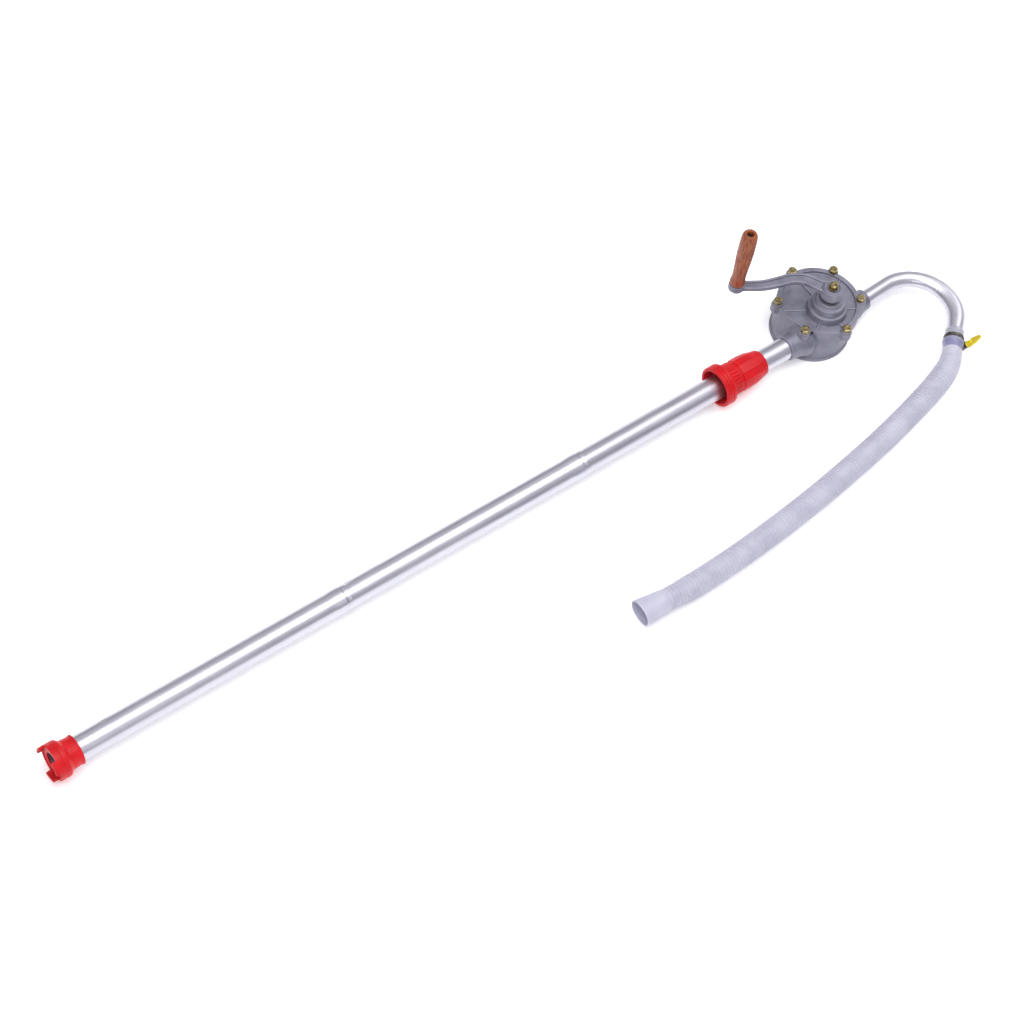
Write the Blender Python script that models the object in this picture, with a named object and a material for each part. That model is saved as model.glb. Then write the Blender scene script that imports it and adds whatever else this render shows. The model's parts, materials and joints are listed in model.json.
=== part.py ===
"""Rotary hand transfer pump with a three-piece suction tube, a bung adapter, a gooseneck spout and a hose.

Metres, +Z up. The pump lies on its back as on a bench: the casing's flat back face is on z = 0 and the
drive shaft stands along +Z through the origin. The suction tube runs along -X to the foot strainer, and
the spout leaves along +X, turns back and carries the discharge hose.
"""

import math

import bmesh
import bpy
from mathutils import Matrix, Vector

# ---------------------------------------------------------------- driving dimensions
FIT_GAP = 0.0003            # clearance kept between neighbouring pieces
CHAMFER = 0.001             # edge chamfer on turned and cast pieces
CLEAR = 0.01                # how far a cutting tool starts outside the face it cuts

# Casing, cover and the bolts that join them
CASING_Y = 0.015            # centre of the casing; the drive shaft is off centre by this much
CHAMBER_RADIUS = 0.038
CHAMBER_Y = 0.007
CHAMBER_FLOOR = 0.008
CHAMBER_WALL = 0.0065       # where the chamber comes nearest to the wall, under the flange
WALL_TAPER = 0.0010         # how much the wall narrows towards the back
BACK_OFFSET = (-0.0058, -0.0019)            # how far the back's centre lies from the flange's
BACK_LIP = 0.0025           # how far the back lip stands out of the wall
BACK_LIP_HEIGHT = 0.0035
SPLIT_Z = 0.0490            # top face of the casing
FLANGE_EDGE = 0.0035        # how far the flange stands out of the wall; the bolts lie on its edge
CASING_FLANGE = 0.008
BOLT_COUNT = 6
FIRST_BOLT_DEG = -30.0
EAR_RADIUS = 0.0078
GASKET = 0.0006
COVER_FLANGE = 0.0053
COVER_RECESS = 0.0024       # how far the cover's web sits below its rim
RIM_WIDTH = 0.0060
RIB_WIDTH = 0.0024
BOSS_WALL = 0.006           # round the shaft seal, at the bearing boss's top step
TIER_STEPS = (0.0097, 0.0055, 0.0)          # how far each step stands out of the top one
TIER_HEIGHTS = (0.0080, 0.0105, 0.0050)

BOLT_RADIUS = 0.0025
BOLT_LENGTH = 0.0125
BOLT_HEAD_FLATS = 0.010
BOLT_HEAD = 0.0048

# Shaft, rotor and vanes
SHAFT_RADIUS = 0.006
SHAFT_CORNER = 0.00006      # how far the driving squares' corners stay inside the shaft's round
REAR_BUSH_DEPTH = 0.0045
BUSH_WALL = 0.003
COVER_BUSH_LENGTH = 0.013
SEAL_DEPTH = 0.006
SEAL_WALL = 0.0045
VANE_COUNT = 4
VANE_THICKNESS = 0.005
ROTOR_HUB = 0.0038          # metal between the shaft and the bottom of each vane slot
SPRING_SPACE = 0.0044       # between the slot's bottom and the vane
SPRING_WIRE = 0.00025       # radius
SPRING_RADIUS = 0.0017
SPRING_TURNS = 3

# Crank
HUB_LIFT = 0.0055           # gap between the bearing boss and the hub
HUB_HEIGHT = 0.0140
HUB_SKIRT = 0.0075          # height of the hub's widest part
HUB_CONE = 0.0045           # height of the cone between the hub's skirt and its neck
HUB_WALL = 0.0055           # round the shaft, at the hub's collar
HUB_NECK_STEP = 0.0013
HUB_SKIRT_STEP = 0.0032
HUB_COLLAR_HEIGHT = 0.002
ARM_LIFT = 0.0055           # from the hub's bottom to the arm
ARM_THICKNESS = 0.0065
ARM_WIDTH_HUB = 0.0170
ARM_WIDTH_END = 0.0115
ARM_ROUTE = (               # centreline of the arm, from the hub to the grip
    (0.000, 0.000),
    (-0.0095, 0.016),
    (-0.0175, 0.032),
    (-0.033, 0.0435),
    (-0.052, 0.0490),
    (-0.072, 0.0555),
    (-0.088, 0.0645),
    (-0.1035, 0.0738),
)
END_BOSS_WALL = 0.0072      # round the grip's spindle
END_BOSS_DROP = 0.0003      # how far the end boss stands out under the arm
END_BOSS_RISE = 0.0030      # and above it
CRANK_WASHER_RADIUS = 0.0066
CRANK_WASHER = 0.0010
CRANK_BOLT_SHANK = 0.018

# Grip
GRIP_LENGTH = 0.100
GRIP_BASE_RADIUS = 0.0100   # the grip flares out at its base
GRIP_BASE_FLARE = 0.0010    # and is narrower just above it
GRIP_MIDDLE_RADIUS = 0.0108
GRIP_TOP_RADIUS = 0.0104
GRIP_TOP_EDGE = 0.0034      # rounding of the top's edge
GRIP_RECESS = 0.006
GRIP_RECESS_GAP = 0.0006    # round the spindle's head
GRIP_GAP = 0.0010           # between the end boss and the grip, where the washer lies
SPINDLE_RADIUS = 0.0025
SPINDLE_HEAD_RADIUS = 0.0036
SPINDLE_HEAD = 0.0020
SPINDLE_FOOT = 0.0018       # how far the riveted foot stands out of the spindle
SPINDLE_FOOT_DROP = 0.0025  # and how far below the end boss it reaches

# Suction tube: three sections, each with a necked spigot that enters the next one's belled end
TUBE_Y = -0.0073
TUBE_Z = 0.028
TUBE_RADIUS = 0.016
TUBE_WALL = 0.0007
NECK_STEP = 0.0010          # the first section's upper end is necked where it enters the casing
NECK_LENGTH = 0.0945
SPIGOT_STEP = 0.0006        # and each spigot where it enters the next section
SPIGOT_LENGTH = 0.015
TUBE_SOCKET = 0.0215        # how deep the first section sits in the inlet boss
INLET_BOSS_WALL = 0.0028
INLET_BOSS_LENGTH = 0.0170  # out of the flange's circle
FIRST_SECTION_LENGTH = 0.3795
MIDDLE_SECTION_LENGTH = 0.3775
FOOT_SECTION_LENGTH = 0.4025
PORT_STEP = 0.0018          # how much narrower the port is than the neck's bore

# Foot strainer
FOOT_GRIP = 0.030           # length of tube inside the strainer
FOOT_WALL = 0.0025          # of the strainer, round the tube
FOOT_RING_STEP = 0.0051
FOOT_RING_START = 0.019     # from the strainer's upper lip
FOOT_RING_LENGTH = 0.0145
PRONG_COUNT = 3
PRONG_LENGTH = 0.0064
PRONG_SPREAD_DEG = 44.0
PRONG_FIRST_DEG = 137.0       # from +Y towards +Z
FOOT_LEDGE = 0.0025         # the inner ledge that the tube's end rests on

# Bung adapter: collar, gland, thrust ring and clamp nut
ADAPTER_DISTANCE = 0.0415   # from the inlet boss to the clamp nut
NUT_LENGTH = 0.0435
NUT_WALL = 0.0022
NUT_END_WALL = 0.0016
NUT_HEAD = 0.0175           # from the nut's top to the sleeve inside it
SLEEVE_WALL = 0.0012        # round the gland
BAND_LENGTH = 0.0155
BAND_CONE = 0.0022          # chamfer from the band out to the flange
FLANGE_OUTER_RADIUS = TUBE_Z        # the flange rests on the same plane as the casing
FLANGE_LENGTH = 0.0150
CUP_WALL = 0.0048
CUP_DEPTH = 0.0150
TUBE_PLAY = 0.0008          # between the adapter's bore and the tube that slides in it
GLAND_WALL = 0.0024
SEAT_DEPTH = 0.011
GLAND_LENGTH = 0.008
THRUST_RING = 0.0042

# Spout
SPOUT_Y = -0.0013
SPOUT_Z = 0.028
SPOUT_RADIUS = 0.0105
SPOUT_WALL = 0.0012
OUTLET_BOSS_WALL = 0.0040
OUTLET_BOSS_LENGTH = 0.0170 # out of the flange's circle
SPOUT_SOCKET = 0.018
RISE_DISTANCE = 0.006       # from the outlet boss to a small bend that first lifts the spout
RISE_DEG = 2.7
RISE_LENGTH = 0.0358        # along X, up to the large bend that turns the spout back
BEND_RADIUS = 0.0556
BEND_DEG = 140.7
TAIL_LENGTH = 0.0505

# Hose and its clamp
CUFF_LENGTH = 0.033
CUFF_WALL = 0.0017
CLAMP_FROM_BEND = 0.0340
BAND_WIDTH = 0.009
BAND_THICKNESS = 0.0008
CLAMP_TILT_DEG = -28.0      # where the screw housing sits round the band, from the outer side
HOUSING_SIZE = (0.0075, 0.0115, 0.0105)     # radial, along the screw, along the spout
SCREW_RADIUS = 0.0028
SCREW_LENGTH = 0.019
KEY_LENGTH = 0.026
KEY_WIDTH = 0.0155
KEY_THICKNESS = 0.0042
HOSE_RADIUS = 0.016
HOSE_ROUTE = (              # centreline of the hose, from the end of the spout to its open mouth
    (0.0980, -0.1455, 0.0262),
    (0.0760, -0.1545, 0.0222),
    (0.0520, -0.1610, 0.0184),
    (0.0250, -0.1675, 0.0166),
    (-0.0050, -0.1745, 0.0162),
    (-0.0400, -0.1822, 0.0162),
    (-0.0760, -0.1890, 0.0162),
    (-0.1120, -0.1950, 0.0162),
    (-0.1480, -0.2008, 0.0162),
    (-0.1840, -0.2058, 0.0162),
    (-0.2200, -0.2102, 0.0162),
    (-0.2560, -0.2140, 0.0162),
    (-0.2920, -0.2172, 0.0162),
    (-0.3280, -0.2197, 0.0162),
    (-0.3640, -0.2214, 0.0162),
    (-0.4000, -0.2220, 0.0162),
    (-0.4380, -0.2203, 0.0162),
    (-0.4800, -0.2172, 0.0162),
)

# ---------------------------------------------------------------- sizes that follow from the ones above
WALL_RADIUS = CASING_Y - CHAMBER_Y + CHAMBER_RADIUS + CHAMBER_WALL
WALL_FOOT_RADIUS = WALL_RADIUS - WALL_TAPER
BACK_LIP_RADIUS = WALL_FOOT_RADIUS + BACK_LIP
FLANGE_RADIUS = WALL_RADIUS + FLANGE_EDGE
BOLT_CIRCLE = FLANGE_RADIUS
COVER_BOTTOM = SPLIT_Z + GASKET + 2 * FIT_GAP
COVER_TOP = COVER_BOTTOM + COVER_FLANGE
WEB_TOP = COVER_TOP - COVER_RECESS
SHAFT_FLAT = (SHAFT_RADIUS - SHAFT_CORNER) * math.sqrt(2)
SEAL_RADIUS = SHAFT_RADIUS + SEAL_WALL
SLOT_INNER_RADIUS = SHAFT_RADIUS + ROTOR_HUB
VANE_INNER_RADIUS = SLOT_INNER_RADIUS + SPRING_SPACE
TIER_RADII = [SEAL_RADIUS + BOSS_WALL + step for step in TIER_STEPS]
TIER_TOPS = [COVER_TOP + sum(TIER_HEIGHTS[: i + 1]) for i in range(len(TIER_HEIGHTS))]
ROTOR_RADIUS = CHAMBER_RADIUS - CHAMBER_Y - FIT_GAP
ROTOR_BOTTOM = CHAMBER_FLOOR + FIT_GAP
ROTOR_TOP = COVER_BOTTOM - FIT_GAP
BUSH_RADIUS = SHAFT_RADIUS + BUSH_WALL
BOLT_SPOTS = [
    Vector((
        BOLT_CIRCLE * math.cos(math.radians(FIRST_BOLT_DEG + 360 / BOLT_COUNT * i)),
        CASING_Y + BOLT_CIRCLE * math.sin(math.radians(FIRST_BOLT_DEG + 360 / BOLT_COUNT * i)),
    ))
    for i in range(BOLT_COUNT)
]
HUB_BOTTOM = TIER_TOPS[-1] + HUB_LIFT
HUB_SKIRT_TOP = HUB_BOTTOM + HUB_SKIRT
HUB_TOP = HUB_BOTTOM + HUB_HEIGHT
HUB_COLLAR_RADIUS = SHAFT_RADIUS + HUB_WALL
HUB_NECK_RADIUS = HUB_COLLAR_RADIUS + HUB_NECK_STEP
HUB_RADIUS = HUB_NECK_RADIUS + HUB_SKIRT_STEP
CRANK_TOP = HUB_TOP + HUB_COLLAR_HEIGHT
ARM_BOTTOM = HUB_BOTTOM + ARM_LIFT
ARM_TOP = ARM_BOTTOM + ARM_THICKNESS
GRIP_SPOT = Vector(ARM_ROUTE[-1])
GRIP_BORE = SPINDLE_RADIUS + FIT_GAP
GRIP_RECESS_RADIUS = SPINDLE_HEAD_RADIUS + GRIP_RECESS_GAP
END_BOSS_RADIUS = GRIP_BORE + END_BOSS_WALL
END_BOSS_BOTTOM = ARM_BOTTOM - END_BOSS_DROP
END_BOSS_TOP = ARM_TOP + END_BOSS_RISE
GRIP_BASE = END_BOSS_TOP + GRIP_GAP
GRIP_TOP = GRIP_BASE + GRIP_LENGTH
INLET_BOSS_END = -FLANGE_RADIUS - INLET_BOSS_LENGTH
OUTLET_BOSS_END = FLANGE_RADIUS + OUTLET_BOSS_LENGTH
OUTLET_BOSS_RADIUS = SPOUT_RADIUS + OUTLET_BOSS_WALL
NECK_RADIUS = TUBE_RADIUS - NECK_STEP
SPIGOT_RADIUS = TUBE_RADIUS - SPIGOT_STEP
INLET_BOSS_RADIUS = NECK_RADIUS + INLET_BOSS_WALL
PORT_RADIUS = NECK_RADIUS - TUBE_WALL - PORT_STEP
TUBE_TOP = INLET_BOSS_END + TUBE_SOCKET
NECK_END = TUBE_TOP - NECK_LENGTH
FIRST_SEAM = TUBE_TOP - FIRST_SECTION_LENGTH + SPIGOT_LENGTH
SEAMS = (FIRST_SEAM, FIRST_SEAM - MIDDLE_SECTION_LENGTH + SPIGOT_LENGTH)
TUBE_END = SEAMS[1] - FOOT_SECTION_LENGTH
BELL_BORE = SPIGOT_RADIUS + FIT_GAP
FOOT_NECK_RADIUS = TUBE_RADIUS + FOOT_WALL
FOOT_RING_RADIUS = FOOT_NECK_RADIUS + FOOT_RING_STEP
FOOT_BORE_RADIUS = TUBE_RADIUS - FOOT_LEDGE
ADAPTER_TOP = INLET_BOSS_END - ADAPTER_DISTANCE
ADAPTER_BORE = TUBE_RADIUS + TUBE_PLAY
SEAT_RADIUS = TUBE_RADIUS + GLAND_WALL      # counterbore in the collar's sleeve, where the gland sits
SLEEVE_RADIUS = SEAT_RADIUS + SLEEVE_WALL
NUT_RADIUS = SLEEVE_RADIUS + NUT_WALL
NUT_END_RADIUS = TUBE_RADIUS + NUT_END_WALL
BAND_RADIUS = NUT_RADIUS
CUP_RADIUS = FLANGE_OUTER_RADIUS - CUP_WALL
COLLAR_SEAM = ADAPTER_TOP - NUT_LENGTH - FIT_GAP
SLEEVE_TOP = ADAPTER_TOP - NUT_HEAD
RISE_START = OUTLET_BOSS_END + RISE_DISTANCE
BEND_START = RISE_START + RISE_LENGTH
RISE = math.radians(RISE_DEG)
BEND_ENTRY = Vector((BEND_START, SPOUT_Y + (BEND_START - RISE_START) * math.tan(RISE), SPOUT_Z))
BEND_CENTRE = BEND_ENTRY + BEND_RADIUS * Vector((math.sin(RISE), -math.cos(RISE), 0))
TAIL_HEADING = RISE - math.radians(BEND_DEG)
TAIL_DIRECTION = Vector((math.cos(TAIL_HEADING), math.sin(TAIL_HEADING), 0))
BEND_END = BEND_CENTRE + BEND_RADIUS * Vector((-math.sin(TAIL_HEADING), math.cos(TAIL_HEADING), 0))
SPOUT_END = BEND_END + TAIL_LENGTH * TAIL_DIRECTION
TUBE_AXIS = Vector((0, TUBE_Y, TUBE_Z))
SIDES = 32                  # sides of a large round piece
TUBE_SIDES = 24             # sides of the suction tube and the rings on it
FEW_SIDES = 18              # sides of a small round piece


# ---------------------------------------------------------------- helpers
def clear_scene():
    for obj in list(bpy.data.objects):
        bpy.data.objects.remove(obj, do_unlink=True)


def material(name, colour, roughness, metallic=0.0):
    made = bpy.data.materials.new(name)
    made.use_nodes = True
    shader = made.node_tree.nodes["Principled BSDF"]
    shader.inputs["Base Color"].default_value = (*colour, 1.0)
    shader.inputs["Roughness"].default_value = roughness
    shader.inputs["Metallic"].default_value = metallic
    return made


def add_object(name, mesh, finish=None):
    obj = bpy.data.objects.new(name, mesh)
    bpy.context.scene.collection.objects.link(obj)
    if finish is not None:
        mesh.materials.append(finish)
        mesh.shade_smooth()
        mesh.set_sharp_from_angle(angle=math.radians(35))
    return obj


def mesh_from(bm, name):
    bmesh.ops.recalc_face_normals(bm, faces=bm.faces)
    mesh = bpy.data.meshes.new(name)
    bm.to_mesh(mesh)
    bm.free()
    return mesh


def turned_mesh(name, profile, sides=SIDES):
    """A solid of revolution about Z from a closed profile of (radius, height) points."""
    bm = bmesh.new()
    ring = [bm.verts.new((r, 0, z)) for r, z in profile]
    edges = [bm.edges.new((ring[i], ring[(i + 1) % len(ring)])) for i in range(len(ring))
             if ring[i].co.x > 0 or ring[(i + 1) % len(ring)].co.x > 0]
    bmesh.ops.spin(bm, geom=ring + edges, cent=(0, 0, 0), axis=(0, 0, 1), angle=2 * math.pi,
                   steps=sides, use_merge=True)
    bmesh.ops.remove_doubles(bm, verts=bm.verts, dist=1e-6)
    return mesh_from(bm, name)


def turned(name, profile, finish=None, at=(0, 0, 0), along=(0, 0, 1), sides=SIDES):
    """A turned piece whose own Z axis lies along a direction, from the point at."""
    obj = add_object(name, turned_mesh(name, profile, sides), finish)
    turn = Vector((0, 0, 1)).rotation_difference(Vector(along)).to_matrix().to_4x4()
    obj.matrix_world = Matrix.Translation(at) @ turn
    return obj


def rod(name, radius, length, finish=None, at=(0, 0, 0), along=(0, 0, 1), sides=SIDES):
    return turned(name, [(0, 0), (radius, 0), (radius, length), (0, length)], finish, at, along, sides)


def ring(name, inner, outer, length, finish=None, at=(0, 0, 0), along=(0, 0, 1), sides=SIDES):
    profile = [(inner, 0), (outer, 0), (outer, length), (inner, length)]
    return turned(name, profile, finish, at, along, sides)


def block(name, size, centre, finish=None):
    bm = bmesh.new()
    bmesh.ops.create_cube(bm, size=1.0, matrix=Matrix.Diagonal((*size, 1.0)))
    obj = add_object(name, mesh_from(bm, name), finish)
    obj.location = centre
    return obj


def prism(name, outline, bottom, top, finish=None):
    """An outline in X and Y, extruded from one height to another."""
    bm = bmesh.new()
    face = bm.faces.new([bm.verts.new((x, y, bottom)) for x, y in outline])
    made = bmesh.ops.extrude_face_region(bm, geom=[face])
    lifted = [v for v in made["geom"] if isinstance(v, bmesh.types.BMVert)]
    bmesh.ops.translate(bm, verts=lifted, vec=(0, 0, top - bottom))
    return add_object(name, mesh_from(bm, name), finish)


def combine(obj, tool, operation):
    """A Boolean whose tool is only a helper, left out of the model."""
    step = obj.modifiers.new(f"{operation.lower()} {tool.name}", "BOOLEAN")
    step.operation = operation
    step.object = tool
    step.solver = "EXACT"
    tool.hide_render = True
    tool.display_type = "WIRE"
    return obj


def cut(obj, *tools):
    for tool in tools:
        combine(obj, tool, "DIFFERENCE")
    return obj


def join(obj, *tools):
    for tool in tools:
        combine(obj, tool, "UNION")
    return obj


def smooth_path(points, step):
    """Points about one step apart on a Catmull-Rom curve through the given points."""
    route = [Vector(p) for p in points]
    route = [2 * route[0] - route[1], *route, 2 * route[-1] - route[-2]]
    path = []
    for a, b, c, d in zip(route, route[1:], route[2:], route[3:]):
        count = max(1, round((c - b).length / step))
        for i in range(count):
            t = i / count
            path.append(0.5 * (2 * b + (c - a) * t + (2 * a - 5 * b + 4 * c - d) * t ** 2
                               + (3 * b - a - 3 * c + d) * t ** 3))
    path.append(route[-2])
    return path


def tube_curve(name, path, radius, finish=None, resolution=4):
    """A solid round bar along a path."""
    data = bpy.data.curves.new(name, "CURVE")
    data.dimensions = "3D"
    data.bevel_depth = radius
    data.bevel_resolution = resolution
    data.use_fill_caps = True
    spline = data.splines.new("POLY")
    spline.points.add(len(path) - 1)
    for point, place in zip(spline.points, path):
        point.co = (*place, 1.0)
    obj = bpy.data.objects.new(name, data)
    bpy.context.scene.collection.objects.link(obj)
    if finish is not None:
        data.materials.append(finish)
    return obj


def swept_pipe(name, path, inner, outer, finish, sides=FEW_SIDES):
    """A hollow pipe along a path in a level plane, with square ends."""
    bm = bmesh.new()
    loops = []
    for i, place in enumerate(path):
        ahead = path[min(i + 1, len(path) - 1)] - path[max(i - 1, 0)]
        side = Vector((-ahead.y, ahead.x, 0)).normalized()
        pair = []
        for radius in (outer, inner):
            pair.append([
                bm.verts.new(place + radius * (math.cos(a) * side + math.sin(a) * Vector((0, 0, 1))))
                for a in (2 * math.pi * k / sides for k in range(sides))
            ])
        loops.append(pair)
    for k in range(sides):
        n = (k + 1) % sides
        for (a_out, a_in), (b_out, b_in) in zip(loops, loops[1:]):
            bm.faces.new((a_out[k], a_out[n], b_out[n], b_out[k]))
            bm.faces.new((a_in[n], a_in[k], b_in[k], b_in[n]))
        for first in (loops[0], loops[-1]):
            bm.faces.new((first[0][k], first[1][k], first[1][n], first[0][n]))
    return add_object(name, mesh_from(bm, name), finish)


def lobed_outline(radius, ear_radius, hole=0.0):
    """The outline that the casing, gasket and cover share: a circle with a round ear at each bolt."""
    steps = 6
    points = []
    reach = BOLT_CIRCLE
    # Angle at the centre where an ear's circle crosses the flange's circle, and the same angle at the ear.
    half = math.acos((radius ** 2 + reach ** 2 - ear_radius ** 2) / (2 * radius * reach))
    turn = math.acos((reach ** 2 + ear_radius ** 2 - radius ** 2) / (2 * reach * ear_radius))
    for i in range(BOLT_COUNT):
        middle = math.radians(FIRST_BOLT_DEG + 360 / BOLT_COUNT * i)
        centre = reach * Vector((math.cos(middle), math.sin(middle)))
        for s in range(steps + 1):
            a = middle - (math.pi - turn) + 2 * (math.pi - turn) * s / steps
            points.append(centre + ear_radius * Vector((math.cos(a), math.sin(a))))
        gap = math.radians(360 / BOLT_COUNT) - 2 * half
        for s in range(1, 6):
            a = middle + half + gap * s / 6
            points.append(radius * Vector((math.cos(a), math.sin(a))))
    return [(p.x, p.y + CASING_Y) for p in points]


def square_bar(name, across, bottom, top, finish=None):
    return block(name, (across, across, top - bottom), (0, 0, (top + bottom) / 2), finish)


def hex_bolt(name, flats, head, shank_radius, shank, finish, at):
    """A hexagon bolt, head up, with a dished top. The point at is the underside of its head."""
    corner = flats / 2 / math.cos(math.pi / 6)
    dish = 0.30 * head
    bm = bmesh.new()
    levels = [(0.0, corner), (head - 0.0006, corner), (head, corner * 0.90)]
    rings = [[bm.verts.new((r * math.cos(a), r * math.sin(a), z))
              for a in (math.pi / 3 * k for k in range(6))] for z, r in levels]
    for low, high in zip(rings, rings[1:]):
        for k in range(6):
            bm.faces.new((low[k], low[(k + 1) % 6], high[(k + 1) % 6], high[k]))
    bm.faces.new(rings[0][::-1])
    bm.faces.new(rings[-1])
    bolt = add_object(name, mesh_from(bm, name), finish)
    bolt.location = at
    hollow = turned(f"{name}_dish", [(0, head - dish), (corner * 0.30, head - dish),
                                     (corner * 0.66, head + dish * 0.2), (0, head + dish * 0.2)],
                    at=at, sides=12)
    stem = turned(f"{name}_stem", [(0, -shank), (shank_radius * 0.8, -shank), (shank_radius, -shank * 0.95),
                                   (shank_radius, 0.0005), (0, 0.0005)], at=at, sides=16)
    return cut(join(bolt, stem), hollow)


# ---------------------------------------------------------------- pump body
def stepped_bore(socket_radius, socket_depth, port_radius, port_depth):
    """Profile of a cutter for a socket and the narrower port behind it, from 10 mm outside the mouth."""
    return [(0, -CLEAR), (socket_radius, -CLEAR), (socket_radius, socket_depth), (port_radius, socket_depth),
            (port_radius, port_depth), (0, port_depth)]


def make_casing(finish):
    middle = (0, CASING_Y, 0)
    casing = turned("pump_casing", [
        (0, 0), (BACK_LIP_RADIUS - CHAMFER, 0), (BACK_LIP_RADIUS, CHAMFER),
        (BACK_LIP_RADIUS, BACK_LIP_HEIGHT),
        (WALL_FOOT_RADIUS, BACK_LIP_HEIGHT + 1.5 * CHAMFER), (WALL_RADIUS, SPLIT_Z), (0, SPLIT_Z),
    ], finish, at=middle)
    # The round wall leans: its back is centred nearer the suction side than its flange.
    for corner in casing.data.vertices:
        share = 1 - corner.co.z / SPLIT_Z
        corner.co += share * Vector((*BACK_OFFSET, 0))
    flange = prism("casing_flange_tool", lobed_outline(FLANGE_RADIUS, EAR_RADIUS),
                   SPLIT_Z - CASING_FLANGE, SPLIT_Z)
    inlet = rod("inlet_boss_tool", INLET_BOSS_RADIUS, -INLET_BOSS_END - CHAMBER_RADIUS / 2,
                at=TUBE_AXIS + Vector((INLET_BOSS_END, 0, 0)), along=(1, 0, 0))
    outlet = rod("outlet_boss_tool", OUTLET_BOSS_RADIUS, OUTLET_BOSS_END - CHAMBER_RADIUS / 2,
                 at=(OUTLET_BOSS_END, SPOUT_Y, SPOUT_Z), along=(-1, 0, 0), sides=FEW_SIDES)
    join(casing, flange, inlet, outlet)
    chamber = rod("chamber_tool", CHAMBER_RADIUS, SPLIT_Z, at=(0, CHAMBER_Y, CHAMBER_FLOOR))
    inlet_bore = turned("inlet_bore_tool", stepped_bore(NECK_RADIUS + FIT_GAP, TUBE_SOCKET + FIT_GAP,
                                                        PORT_RADIUS, -INLET_BOSS_END),
                        at=TUBE_AXIS + Vector((INLET_BOSS_END, 0, 0)), along=(1, 0, 0), sides=TUBE_SIDES)
    outlet_bore = turned("outlet_bore_tool", stepped_bore(SPOUT_RADIUS + FIT_GAP, SPOUT_SOCKET + FIT_GAP,
                                                          SPOUT_RADIUS - SPOUT_WALL, OUTLET_BOSS_END),
                         at=(OUTLET_BOSS_END, SPOUT_Y, SPOUT_Z), along=(-1, 0, 0), sides=FEW_SIDES)
    bush_pocket = rod("rear_bush_pocket_tool", BUSH_RADIUS + FIT_GAP, REAR_BUSH_DEPTH + CLEAR,
                      at=(0, 0, CHAMBER_FLOOR - REAR_BUSH_DEPTH), sides=FEW_SIDES)
    cut(casing, chamber, bush_pocket)
    for i, spot in enumerate(BOLT_SPOTS):
        bottom = COVER_TOP - BOLT_LENGTH - FIT_GAP
        hole = rod(f"casing_bolt_hole_tool_{i}", BOLT_RADIUS + FIT_GAP, SPLIT_Z + CLEAR - bottom,
                   at=(*spot, bottom), sides=16)
        cut(casing, hole)
    cut(casing, inlet_bore, outlet_bore)


def make_gasket(finish):
    gasket = prism("cover_gasket", lobed_outline(FLANGE_RADIUS - 0.0005, EAR_RADIUS - 0.0005),
                   SPLIT_Z + FIT_GAP, SPLIT_Z + FIT_GAP + GASKET, finish)
    window_base = (0, CHAMBER_Y, SPLIT_Z - CLEAR)
    cut(gasket, rod("gasket_window_tool", CHAMBER_RADIUS + CHAMFER, 2 * CLEAR, at=window_base))
    for i, spot in enumerate(BOLT_SPOTS):
        cut(gasket, rod(f"gasket_hole_tool_{i}", BOLT_RADIUS + 2 * FIT_GAP, 2 * CLEAR,
                        at=(*spot, SPLIT_Z - CLEAR), sides=16))


def make_cover(finish):
    cover = prism("front_cover", lobed_outline(FLANGE_RADIUS, EAR_RADIUS), COVER_BOTTOM, COVER_TOP, finish)
    recess = rod("cover_recess_tool", FLANGE_RADIUS - RIM_WIDTH, 2 * CLEAR, at=(0, CASING_Y, WEB_TOP))
    cut(cover, recess)
    # Ribs run out from the boss to the rim, at equal angles about the drive shaft.
    for i in range(BOLT_COUNT):
        angle = math.radians(FIRST_BOLT_DEG + 360 / BOLT_COUNT * i)
        heading = Vector((math.cos(angle), math.sin(angle)))
        to_centre = Vector((0, CASING_Y))
        along = heading.dot(to_centre)
        rim_radius = FLANGE_RADIUS - RIM_WIDTH + 0.001
        reach = along + math.sqrt(rim_radius ** 2 - to_centre.length_squared + along ** 2)
        start = TIER_RADII[0] - 0.004
        rib = block(f"cover_rib_tool_{i}", (reach - start, RIB_WIDTH, COVER_TOP - COVER_BOTTOM - 0.0007),
                    (*((start + reach) / 2 * heading), (COVER_TOP + COVER_BOTTOM + 0.0001) / 2))
        rib.rotation_euler.z = angle
        join(cover, rib)
    profile = [(0, COVER_BOTTOM + 0.0004), (TIER_RADII[0] + 0.001, COVER_BOTTOM + 0.0004)]
    base = WEB_TOP
    for radius, top in zip(TIER_RADII, TIER_TOPS):
        profile += [(radius + 0.0006, base), (radius, top - 0.0015), (radius - 0.0015, top)]
        base = top
    profile.append((0, TIER_TOPS[-1]))
    join(cover, turned("cover_boss_tool", profile))
    shaft_hole = SHAFT_RADIUS + FIT_GAP
    bush_hole = BUSH_RADIUS + FIT_GAP
    seal_hole = SEAL_RADIUS + FIT_GAP
    bush_end = COVER_BOTTOM + COVER_BUSH_LENGTH + FIT_GAP
    seal_floor = TIER_TOPS[-1] - SEAL_DEPTH - FIT_GAP
    cut(cover, turned("cover_bore_tool", [
        (0, COVER_BOTTOM - CLEAR), (bush_hole, COVER_BOTTOM - CLEAR), (bush_hole, bush_end),
        (shaft_hole, bush_end), (shaft_hole, seal_floor), (seal_hole, seal_floor),
        (seal_hole, TIER_TOPS[-1] + CLEAR), (0, TIER_TOPS[-1] + CLEAR),
    ], sides=FEW_SIDES))
    for i, spot in enumerate(BOLT_SPOTS):
        cut(cover, rod(f"cover_bolt_hole_tool_{i}", BOLT_RADIUS + 2 * FIT_GAP, 2 * CLEAR,
                       at=(*spot, COVER_BOTTOM - 0.8 * CLEAR), sides=16))


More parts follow.
